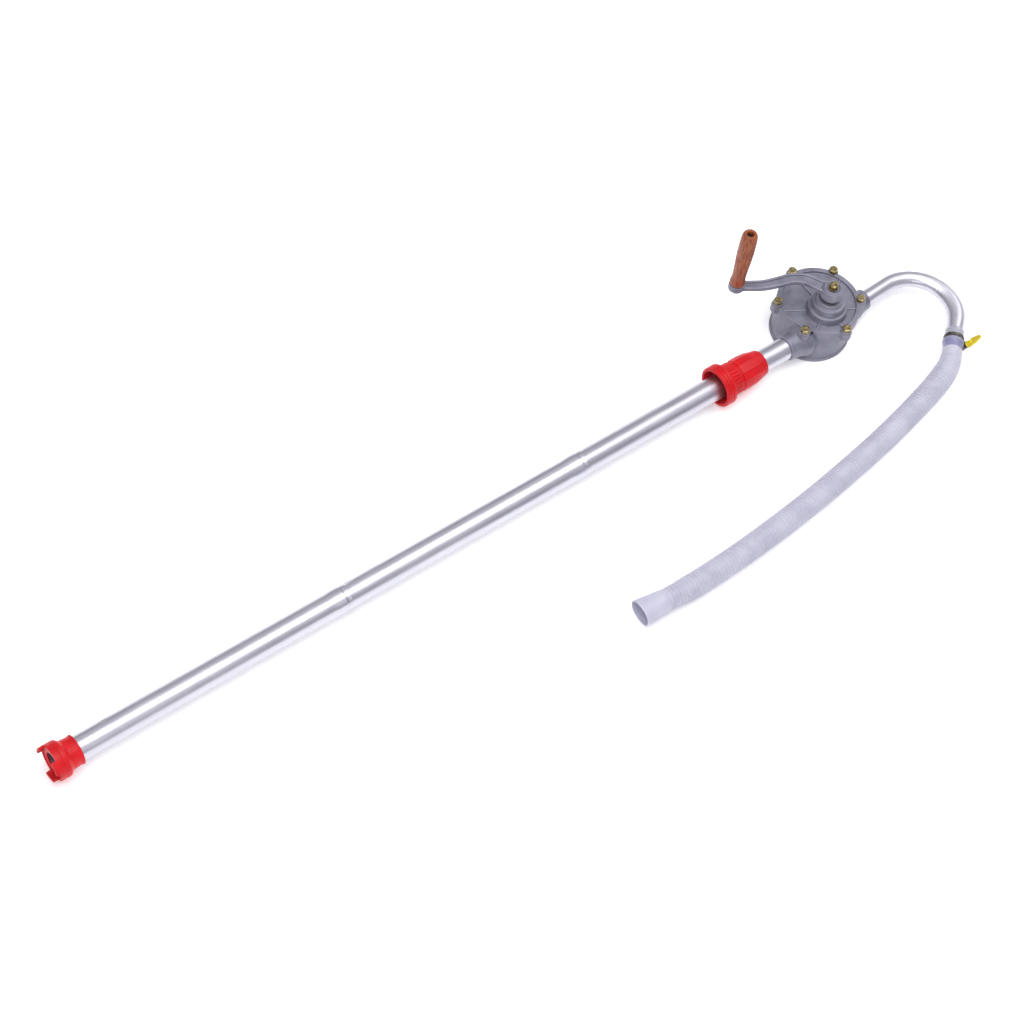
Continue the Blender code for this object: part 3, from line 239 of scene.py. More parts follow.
@dataclass(frozen=True)
class PaintedSandCasting(Finish):
    """Aluminium cast in sand and sprayed grey: a soft satin skin over 0.9 mm grit, its convex edges paler from paint
    wear and painted highlight.
    """

    name: str = "painted_sand_casting"
    colour: str = "#7b7a88"
    roughness: float = 0.42
    metallic: float = 0.35
    grit: float = 0.9 * MM
    pooling: float = 14 * MM

    def pattern(self, tree: bpy.types.NodeTree, shader: bpy.types.Node, place: bpy.types.NodeSocket) -> None:
        """Mottled paint, convex edges paled by wear and painted highlight, grooves darkened by grime and painted shade,
        and the grit of the mould.
        """
        cloud = add_node(tree, "TexNoise", {"Vector": place, "Scale": 1 / self.pooling, "Detail": 5.0})
        paint = ramp(tree, cloud.outputs["Fac"], [(0.3, "#6f6e7c"), (0.5, self.colour), (0.72, "#878694")])
        bend = add_node(tree, "NewGeometry").outputs["Pointiness"]
        # Convex edges pale towards #aeacba: partly paint wear, partly painted highlight.
        edge_wear_and_highlight = add_node(tree, "MapRange", {0: bend, 1: 0.51, 2: 0.56, 3: 0.0, 4: 0.65})
        edged = add_node(
            tree, "Mix", {0: edge_wear_and_highlight.outputs[0], 6: paint, 7: linear("#aeacba")}, data_type="RGBA"
        )
        # Creases darken towards #3c3a46: partly grime, partly painted shade.
        deep = add_node(tree, "MapRange", {0: bend, 1: 0.43, 2: 0.49, 3: 0.7, 4: 0.0})
        grime_and_crease_shade = add_node(
            tree, "Mix", {0: deep.outputs[0], 6: edged.outputs[2], 7: linear("#3c3a46")}, data_type="RGBA"
        )
        tree.links.new(grime_and_crease_shade.outputs[2], shader.inputs["Base Color"])
        grit = add_node(tree, "TexNoise", {"Vector": place, "Scale": 1 / self.grit, "Detail": 2.0})
        relief = add_node(
            tree, "Bump", {"Height": grit.outputs["Fac"], "Strength": 0.35, "Distance": 0.12 * MM}
        )
        tree.links.new(relief.outputs[0], shader.inputs["Normal"])
        gloss = add_node(tree, "MapRange", {0: cloud.outputs["Fac"], 1: 0.3, 2: 0.7, 3: 0.36, 4: 0.52})
        tree.links.new(gloss.outputs[0], shader.inputs["Roughness"])


@dataclass(frozen=True)
class DrawnAluminium(Finish):
    """Thin-walled tube drawn through a die: near-white metal with faint lengthwise draw lines."""

    name: str = "drawn_aluminium"
    colour: str = "#cecdd6"
    roughness: float = 0.33
    metallic: float = 1.0
    line_length: float = 180 * MM
    line_width: float = 0.9 * MM     # real draw lines are finer; drawn this coarse so that they show

    def pattern(self, tree: bpy.types.NodeTree, shader: bpy.types.Node, place: bpy.types.NodeSocket) -> None:
        """Long streaks in gloss and tone, and a slight handling haze."""
        scale = (1 / self.line_length, 1 / self.line_width, 1 / self.line_width)
        drawn = add_node(tree, "Mapping", {"Vector": place, "Scale": scale})
        lines = add_node(tree, "TexNoise", {"Vector": drawn.outputs[0], "Scale": 1.0, "Detail": 4.0})
        haze = add_node(tree, "TexNoise", {"Vector": place, "Scale": 1 / (40 * MM), "Detail": 3.0})
        both = add_node(tree, "Math", {0: lines.outputs["Fac"], 1: haze.outputs["Fac"]}, operation="ADD")
        gloss = add_node(tree, "MapRange", {0: both.outputs[0], 1: 0.7, 2: 1.3, 3: 0.28, 4: 0.42})
        tree.links.new(gloss.outputs[0], shader.inputs["Roughness"])
        tone = ramp(tree, lines.outputs["Fac"], [(0.3, "#c6c4ce"), (0.7, "#d4d3db")])
        tree.links.new(tone, shader.inputs["Base Color"])
        relief = add_node(
            tree, "Bump", {"Height": lines.outputs["Fac"], "Strength": 0.12, "Distance": 0.03 * MM}
        )
        tree.links.new(relief.outputs[0], shader.inputs["Normal"])


@dataclass(frozen=True)
class RedPolypropylene(Finish):
    """Injection-moulded polypropylene: saturated signal red, semi-gloss, with a slight orange peel."""

    name: str = "red_polypropylene"
    colour: str = "#b80d18"
    roughness: float = 0.44
    peel: float = 1.6 * MM

    def pattern(self, tree: bpy.types.NodeTree, shader: bpy.types.Node, place: bpy.types.NodeSocket) -> None:
        """Slow flow marks in the colour, orange peel, and paler rubbed edges."""
        flow = add_node(tree, "TexNoise", {"Vector": place, "Scale": 1 / (18 * MM), "Detail": 2.0})
        red = ramp(tree, flow.outputs["Fac"], [(0.3, "#bd0813"), (0.7, "#d00d19")])
        bend = add_node(tree, "NewGeometry").outputs["Pointiness"]
        rub = add_node(tree, "MapRange", {0: bend, 1: 0.53, 2: 0.62, 3: 0.0, 4: 0.3})
        edged = add_node(tree, "Mix", {0: rub.outputs[0], 6: red, 7: linear("#c8262e")}, data_type="RGBA")
        tree.links.new(edged.outputs[2], shader.inputs["Base Color"])
        peel = add_node(tree, "TexNoise", {"Vector": place, "Scale": 1 / self.peel, "Detail": 1.0})
        relief = add_node(
            tree, "Bump", {"Height": peel.outputs["Fac"], "Strength": 0.2, "Distance": 0.08 * MM}
        )
        tree.links.new(relief.outputs[0], shader.inputs["Normal"])
        shader.inputs["IOR"].default_value = 1.49
        shader.inputs["Specular IOR Level"].default_value = 0.3


@dataclass(frozen=True)
class YellowPassivatedZinc(Finish):
    """Zinc-plated steel dipped in yellow passivate: pale gold that drifts to straw and violet-brown."""

    name: str = "yellow_passivated_zinc"
    colour: str = "#84744b"
    roughness: float = 0.3
    metallic: float = 1.0

    def pattern(self, tree: bpy.types.NodeTree, shader: bpy.types.Node, place: bpy.types.NodeSocket) -> None:
        """Drifting tints a few millimetres across and browner low spots."""
        drift = add_node(tree, "TexNoise", {"Vector": place, "Scale": 1 / (2.5 * MM), "Detail": 3.0})
        stops = [(0.25, "#483a20"), (0.45, "#84744b"), (0.6, "#a99c74"), (0.8, "#6d5c48")]
        tree.links.new(ramp(tree, drift.outputs["Fac"], stops), shader.inputs["Base Color"])


@dataclass(frozen=True)
class RolledSteel(Finish):
    """Plain rolled steel under a trace of oil: mid-grey with darker clouds."""

    name: str = "rolled_steel"
    colour: str = "#6f6a68"
    roughness: float = 0.34
    metallic: float = 1.0

    def pattern(self, tree: bpy.types.NodeTree, shader: bpy.types.Node, place: bpy.types.NodeSocket) -> None:
        """Clouded tone and fine scratches."""
        cloud = add_node(tree, "TexNoise", {"Vector": place, "Scale": 1 / (4 * MM), "Detail": 4.0})
        stops = [(0.3, "#4e4947"), (0.6, self.colour), (0.8, "#8b8784")]
        tree.links.new(ramp(tree, cloud.outputs["Fac"], stops), shader.inputs["Base Color"])
        gloss = add_node(tree, "MapRange", {0: cloud.outputs["Fac"], 1: 0.3, 2: 0.7, 3: 0.25, 4: 0.45})
        tree.links.new(gloss.outputs[0], shader.inputs["Roughness"])


@dataclass(frozen=True)
class RecessShadeSteel(Finish):
    """Rivet steel coloured nearly black as painted shade, so that the spindle head reads as the shadowed hole in the
    grip's top; a dull sheen on its rim.
    """

    name: str = "recess_shade_steel"
    # Near-black colour is painted shade for the recess, not the steel's own tone.
    colour: str = "#2b2523"
    roughness: float = 0.5
    metallic: float = 0.8


@dataclass(frozen=True)
class VarnishedBeech(Finish):
    """Turned beech, stained red-brown and varnished: flecked grain along the grip and a glossy coat."""

    name: str = "varnished_beech"
    colour: str = "#8f4b2d"
    roughness: float = 0.5
    grain: float = 1.3 * MM
    fleck_length: float = 16 * MM
    bottom: float = 0.0975
    stain_height: float = 0.022

    def pattern(self, tree: bpy.types.NodeTree, shader: bpy.types.Node, place: bpy.types.NodeSocket) -> None:
        """Lengthwise grain, short dark flecks, and a redder stain where the grip meets the crank."""
        scale = (1 / self.grain, 1 / self.grain, 1 / self.fleck_length)
        along = add_node(tree, "Mapping", {"Vector": place, "Scale": scale})
        grain = add_node(
            tree, "TexNoise", {"Vector": along.outputs[0], "Scale": 1.0, "Detail": 5.0, "Distortion": 0.6}
        )
        stops = [(0.28, "#56210c"), (0.45, "#843a15"), (0.6, "#98501f"), (0.8, "#a25d2c")]
        wood = ramp(tree, grain.outputs["Fac"], stops)
        height = add_node(tree, "SeparateXYZ", {0: place}).outputs["Z"]
        low = add_node(
            tree, "MapRange", {0: height, 1: self.bottom, 2: self.bottom + self.stain_height, 3: 0.75, 4: 0.0}
        )
        stained = add_node(tree, "Mix", {0: low.outputs[0], 6: wood, 7: linear("#8f3310")}, data_type="RGBA")
        tree.links.new(stained.outputs[2], shader.inputs["Base Color"])
        relief = add_node(
            tree, "Bump", {"Height": grain.outputs["Fac"], "Strength": 0.3, "Distance": 0.1 * MM}
        )
        tree.links.new(relief.outputs[0], shader.inputs["Normal"])
        shader.inputs["Coat Weight"].default_value = 0.12
        shader.inputs["Coat Roughness"].default_value = 0.22


@dataclass(frozen=True)
class MilkyPolyethylene(Finish):
    """Blown corrugated polyethylene hose: milky lavender-white that lets light through its thin wall."""

    name: str = "milky_polyethylene"
    colour: str = "#cfcddd"
    roughness: float = 0.42

    def pattern(self, tree: bpy.types.NodeTree, shader: bpy.types.Node, place: bpy.types.NodeSocket) -> None:
        """Cloudy wall thickness and a soft inner glow."""
        cloud = add_node(tree, "TexNoise", {"Vector": place, "Scale": 1 / (22 * MM), "Detail": 3.0})
        tint = ramp(tree, cloud.outputs["Fac"], [(0.3, "#c6c4d6"), (0.7, "#d5d3e3")])
        tree.links.new(tint, shader.inputs["Base Color"])
        shader.inputs["IOR"].default_value = 1.5
        shader.inputs["Transmission Weight"].default_value = 0.22
        shader.inputs["Subsurface Weight"].default_value = 0.25
        shader.inputs["Subsurface Radius"].default_value = (0.9, 0.9, 1.0)
        shader.inputs["Subsurface Scale"].default_value = 2 * MM


@dataclass(frozen=True)
class ClearVinyl(Finish):
    """Soft clear vinyl stretched over metal: bluish grey, glossy, darker where the metal shows through."""

    name: str = "clear_vinyl"
    thick_end: tuple[float, float, float] = (0.0, 0.0, 0.0)
    colour: str = "#b9b9c9"
    roughness: float = 0.3

    def pattern(self, tree: bpy.types.NodeTree, shader: bpy.types.Node, place: bpy.types.NodeSocket) -> None:
        """Uneven grip marks, slight transparency, and a violet tinge where the vinyl is thickest."""
        cloud = add_node(tree, "TexNoise", {"Vector": place, "Scale": 1 / (5 * MM), "Detail": 2.0})
        tint = ramp(tree, cloud.outputs["Fac"], [(0.3, "#a9a9b8"), (0.7, "#c2c2d0")])
        off = add_node(tree, "VectorMath", {0: place, 1: self.thick_end}, operation="DISTANCE")
        near = add_node(tree, "MapRange", {0: off.outputs["Value"], 1: 0.017, 2: 0.022, 3: 0.85, 4: 0.0})
        tinged = add_node(tree, "Mix", {0: near.outputs[0], 6: tint, 7: linear("#8a8ab4")}, data_type="RGBA")
        tree.links.new(tinged.outputs[2], shader.inputs["Base Color"])
        shader.inputs["Transmission Weight"].default_value = 0.25
        shader.inputs["IOR"].default_value = 1.52


@dataclass(frozen=True)
class YellowNylon(Finish):
    """Moulded nylon key: bright lemon yellow, semi-gloss, scuffed to a greyer tone at its tip."""

    name: str = "yellow_nylon"
    colour: str = "#dcc410"
    roughness: float = 0.4

    def pattern(self, tree: bpy.types.NodeTree, shader: bpy.types.Node, place: bpy.types.NodeSocket) -> None:
        """Scuffs, and a fine moulded grain."""
        scuff = add_node(tree, "TexNoise", {"Vector": place, "Scale": 1 / (7 * MM), "Detail": 4.0})
        tint = ramp(tree, scuff.outputs["Fac"], [(0.3, "#b89a10"), (0.5, self.colour), (0.75, "#e6d64c")])
        tree.links.new(tint, shader.inputs["Base Color"])
        grain = add_node(tree, "TexNoise", {"Vector": place, "Scale": 1 / (0.5 * MM)})
        relief = add_node(
            tree, "Bump", {"Height": grain.outputs["Fac"], "Strength": 0.2, "Distance": 0.04 * MM}
        )
        tree.links.new(relief.outputs[0], shader.inputs["Normal"])


@dataclass(frozen=True)
class NitrileRubber(Finish):
    """Moulded nitrile: matt black with a grey bloom."""

    name: str = "nitrile_rubber"
    colour: str = "#1f1f20"
    roughness: float = 0.75


@dataclass(frozen=True)
class PressedFibre(Finish):
    """Pressed fibre gasket sheet: matt grey-brown with a speckle."""

    name: str = "pressed_fibre"
    colour: str = "#6a6358"
    roughness: float = 0.85


@dataclass(frozen=True)
class SinteredBronze(Finish):
    """Oil-soaked sintered bronze: dull warm metal with open pores."""

    name: str = "sintered_bronze"
    colour: str = "#a9824c"
    roughness: float = 0.45
    metallic: float = 1.0


@dataclass(frozen=True)
class MachinedAluminium(Finish):
    """Turned and milled aluminium: clean light grey metal."""

    name: str = "machined_aluminium"
    colour: str = "#b9b9bd"
    roughness: float = 0.3
    metallic: float = 1.0


@dataclass(frozen=True)
class Acetal(Finish):
    """Milled acetal resin: creamy white, slightly waxy."""

    name: str = "acetal"
    colour: str = "#d8ceb8"
    roughness: float = 0.45


@dataclass(frozen=True)
class StudioPaper(Finish):
    """Seamless background paper on a light table: matt white, glowing faintly so that shadows stay pale."""

    name: str = "studio_paper"
    colour: str = "#f7f7f8"
    roughness: float = 0.95
    glow: float = 0.24

    def pattern(self, tree: bpy.types.NodeTree, shader: bpy.types.Node, place: bpy.types.NodeSocket) -> None:
        """A faint tooth in the paper, and the table's light behind it."""
        tooth = add_node(tree, "TexNoise", {"Vector": place, "Scale": 1 / (3 * MM), "Detail": 2.0})
        tint = ramp(tree, tooth.outputs["Fac"], [(0.3, "#f4f4f6"), (0.7, "#fafafa")])
        tree.links.new(tint, shader.inputs["Base Color"])
        shader.inputs["Emission Color"].default_value = linear("#ffffff")
        shader.inputs["Emission Strength"].default_value = self.glow


FINISHES: dict[Slot, Finish] = {
    Slot.CASTING: PaintedSandCasting(),
    Slot.TUBE: DrawnAluminium(),
    Slot.RED: RedPolypropylene(),
    Slot.RUBBER: NitrileRubber(),
    Slot.PAPER: PressedFibre(),
    Slot.ZINC: YellowPassivatedZinc(),
    Slot.STEEL: RolledSteel(),
    Slot.BRONZE: SinteredBronze(),
    Slot.ROTOR: MachinedAluminium(),
    Slot.VANE: Acetal(),
    Slot.WOOD: VarnishedBeech(),
    Slot.YELLOW: YellowNylon(),
    Slot.HOSE: MilkyPolyethylene(),
}


# ---------------------------------------------------------------------------------------- mesh building
@dataclass(frozen=True)
class Axle:
    """A straight axis that turned pieces are built round, with the direction where angles start."""

    origin: Vector
    along: Vector
    start: Vector

    def points(self, along: np.ndarray, radius: np.ndarray, angle: np.ndarray) -> np.ndarray:
        """Places points by their distance along the axis, radius and angle, as an array of 3-vectors."""
        turned = np.cross(np.array(self.along), np.array(self.start))
        return (
            np.array(self.origin)
            + along[..., None] * np.array(self.along)
            + (radius * np.cos(angle))[..., None] * np.array(self.start)
            + (radius * np.sin(angle))[..., None] * turned
        )


def mesh_object(name: str, points: np.ndarray, faces: Iterable[Sequence[int]], sharp: float = 40) -> bpy.types.Object:
    """Makes a closed mesh object with outward faces, shaded smooth between its sharp edges.

    Args:
        name: the piece's name.
        points: its vertices, one 3-vector a row.
        faces: vertex numbers of each face.
        sharp: edges bent by more degrees than this stay sharp.

    Returns:
        The object, linked to the scene.
    """
    mesh = bpy.data.meshes.new(name)
    mesh.from_pydata(points.reshape(-1, 3).tolist(), [], [tuple(face) for face in faces])
    bm = bmesh.new()
    bm.from_mesh(mesh)
    bmesh.ops.remove_doubles(bm, verts=bm.verts, dist=1e-6)
    bmesh.ops.recalc_face_normals(bm, faces=bm.faces)
    bm.to_mesh(mesh)
    bm.free()
    mesh.shade_smooth()
    mesh.set_sharp_from_angle(angle=math.radians(sharp))
    piece = bpy.data.objects.new(name, mesh)
    bpy.context.scene.collection.objects.link(piece)
    return piece


def loft(name: str, rings: np.ndarray, ring_closes: bool = True, sharp: float = 40) -> bpy.types.Object:
    """Skins a stack of rings that all have the same number of points.

    Args:
        name: the piece's name.
        rings: array of rings, points and coordinates.
        ring_closes: whether the last ring joins the first; otherwise both ends get a flat cap.
        sharp: see mesh_object.

    Returns:
        The skinned object.
    """
    count, sides = rings.shape[:2]
    faces: list[tuple[int, ...]] = []
    for i in range(count if ring_closes else count - 1):
        low, high = i * sides, (i + 1) % count * sides
        faces += [(low + k, low + (k + 1) % sides, high + (k + 1) % sides, high + k) for k in range(sides)]
    if not ring_closes:
        faces += [tuple(range(sides))[::-1], tuple(range((count - 1) * sides, count * sides))]
    return mesh_object(name, rings, faces, sharp)


def rounded(corners: Profile, radius: float, steps: int = 3) -> list[tuple[float, float]]:
    """Rounds the corners of a closed profile, but not those on the axis.

    Args:
        corners: points of (along, radius).
        radius: how far from each corner the rounding starts, less on short sides.
        steps: chords in each rounded corner.

    Returns:
        The profile with each corner replaced by a short curve.
    """
    points = [Vector(c) for c in corners]
    smooth: list[tuple[float, float]] = []
    for i, corner in enumerate(points):
        before, after = points[i - 1] - corner, points[(i + 1) % len(points)] - corner
        reach = min(radius, 0.45 * before.length, 0.45 * after.length)
        if corner.y < 1e-9 or reach < 1e-6:
            smooth.append(tuple(corner))
            continue
        first, last = corner + reach * before.normalized(), corner + reach * after.normalized()
        for k in range(steps + 1):
            t = k / steps
            smooth.append(tuple((1 - t) ** 2 * first + 2 * t * (1 - t) * corner + t * t * last))
    return smooth


def lathe(
    name: str, axle: Axle, profile: Profile, sides: int = 96, shape: Shape | None = None, sharp: float = 40
) -> bpy.types.Object:
    """Turns a closed profile round an axle.

    Args:
        name: the piece's name.
        axle: the axis.
        profile: closed outline of (along, radius).
        sides: points round the axis.
        shape: changes a point's (along, radius) by its angle, for flutes, facets and dents.
        sharp: see mesh_object.

    Returns:
        The turned object.
    """
    angles = np.arange(sides) * 2 * math.pi / sides
    along = np.array([[a] * sides for a, _ in profile])
    radius = np.array([[r] * sides for _, r in profile])
    if shape is not None:
        for i, (a, r) in enumerate(profile):
            for k, angle in enumerate(angles):
                along[i, k], radius[i, k] = shape(a, r, angle)
    return loft(name, axle.points(along, radius, np.broadcast_to(angles, along.shape)), sharp=sharp)


def prism(name: str, outline: Sequence[tuple[float, float]], low: float, high: float) -> bpy.types.Object:
    """Extrudes an outline in X and Y between two heights."""
    flat = np.array(outline)
    rings = np.stack([np.column_stack([flat, np.full(len(flat), z)]) for z in (low, high)])
    return loft(name, rings, ring_closes=False)


def box(name: str, size: Sequence[float], place: Matrix) -> bpy.types.Object:
    """A box of a size, set by a matrix, to be fused or rounded into a piece."""
    half = np.array(size) / 2
    corners = np.array([[sx, sy] for sx, sy in ((-1, -1), (1, -1), (1, 1), (-1, 1))]) * half[:2]
    piece = prism(name, [tuple(c) for c in corners], -half[2], half[2])
    piece.data.transform(place)
    return piece


def settled(piece: bpy.types.Object, sharp: float = 40) -> bpy.types.Object:
    """Turns a piece's modifiers into plain mesh.

    Args:
        piece: the object with its modifiers.
        sharp: see mesh_object.

    Returns:
        The same object.
    """
    bpy.context.view_layer.update()
    graph = bpy.context.evaluated_depsgraph_get()
    mesh = bpy.data.meshes.new_from_object(piece.evaluated_get(graph))
    mesh.name = piece.name
    piece.modifiers.clear()
    piece.data = mesh
    mesh.shade_smooth()
    mesh.set_sharp_from_angle(angle=math.radians(sharp))
    return piece


def fuse(name: str, parts: Sequence[bpy.types.Object], voxel: float, rounds: int) -> bpy.types.Object:
    """Melts overlapping solids into one skin with soft fillets, as in a casting or a moulding.

    Args:
        name: the piece's name.
        parts: closed solids that overlap; they are used up.
        voxel: grid of the new skin.
        rounds: smoothing passes, which set how soft the fillets are.

    Returns:
        The fused object.
    """
    bm = bmesh.new()
    for part in parts:
        bm.from_mesh(part.data)
        bpy.data.objects.remove(part)
    mesh = bpy.data.meshes.new(name)
    bm.to_mesh(mesh)
    bm.free()
    piece = bpy.data.objects.new(name, mesh)
    bpy.context.scene.collection.objects.link(piece)
    skin = piece.modifiers.new("skin", "REMESH")
    skin.mode = "VOXEL"
    skin.voxel_size = voxel
    soften = piece.modifiers.new("soften", "SMOOTH")
    soften.factor = 0.5
    soften.iterations = rounds
    return settled(piece)


def carve(piece: bpy.types.Object, cutters: Sequence[bpy.types.Object]) -> bpy.types.Object:
    """Cuts closed solids out of a piece; the cutters are used up."""
    for cutter in cutters:
        step = piece.modifiers.new(cutter.name, "BOOLEAN")
        step.operation = "DIFFERENCE"
        step.solver = "MANIFOLD"
        step.object = cutter
    settled(piece)
    for cutter in cutters:
        bpy.data.objects.remove(cutter)
    return piece


def smooth_route(points: Sequence[Sequence[float]], step: float) -> np.ndarray:
    """Points about one step apart on a Catmull-Rom curve through the given points."""
    route = [np.array(p, float) for p in points]
    route = [2 * route[0] - route[1], *route, 2 * route[-1] - route[-2]]
    path = []
    for a, b, c, d in zip(route, route[1:], route[2:], route[3:]):
        count = max(1, round(float(np.linalg.norm(c - b)) / step))
        for t in np.arange(count) / count:
            path.append(
                0.5 * (2 * b + (c - a) * t + (2 * a - 5 * b + 4 * c - d) * t**2 + (3 * b - a - 3 * c + d) * t**3)
            )
    return np.array([*path, route[-2]])


def sweep_rings(path: np.ndarray, radius: Callable[[float, np.ndarray], np.ndarray], sides: int) -> np.ndarray:
    """Rings round a nearly level path.

    Args:
        path: the centreline's points.
        radius: gives each ring's radii from the distance walked and the angles, which start upwards.
        sides: points in each ring.

    Returns:
        Array of rings, points and coordinates.
    """
    tangent = np.gradient(path, axis=0)
    tangent /= np.linalg.norm(tangent, axis=1)[:, None]
    side = np.cross(tangent, np.array(Z))
    side /= np.linalg.norm(side, axis=1)[:, None]
    upward = np.cross(side, tangent)
    walked = np.concatenate([[0], np.cumsum(np.linalg.norm(np.diff(path, axis=0), axis=1))])
    angles = np.arange(sides) * 2 * math.pi / sides
    rings = []
    for place, s, u, w in zip(path, walked, upward, side):
        r = radius(float(s), angles)[:, None]
        rings.append(place + r * (np.cos(angles)[:, None] * u + np.sin(angles)[:, None] * w))
    return np.array(rings)


def soft_step(value: float, low: float, high: float) -> float:
    """Rises smoothly from 0 at low to 1 at high."""
    t = min(1.0, max(0.0, (value - low) / (high - low)))
    return t * t * (3 - 2 * t)


# ------------------------------------------------------------------------------------------- the pump
class Workshop:
    def __init__(self, frame: dict[str, Any]) -> None:
        """Keeps the frame and makes one material for each slot."""
        self.nodes: dict[str, bpy.types.Object] = frame["nodes"]
        self.materials = {slot: finish.material() for slot, finish in FINISHES.items()}
        self.left = set(self.nodes)

    def fit(
        self, piece: bpy.types.Object, slot: Slot, body: Body, *nodes: str, finish: Finish | None = None
    ) -> bpy.types.Object:
        """Dresses a finished piece and sets it on its body.

        Args:
            piece: the object.
            slot: the record's material slot.
            body: what it rides on.
            nodes: the CAD nodes that it stands for.
            finish: another finish than the slot's own.

        Returns:
            The same object.
        """
        piece.data.materials.clear()
        piece.data.materials.append(finish.material() if finish else self.materials[slot])
        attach(piece, body.value)
        if nodes:
            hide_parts(*nodes)
            self.left -= set(nodes)
        LOG.info("%s rides on %s, %d faces", piece.name, body.value, len(piece.data.polygons))
        return piece

    def dress_node(self, name: str, slot: Slot) -> None:
        """Gives a CAD node that stays its finish."""
        node = self.nodes[name]
        node.data.materials.clear()
        node.data.materials.append(self.materials[slot])
        self.left.discard(name)
        LOG.info("%s keeps its CAD shape in %s", name, slot.value)


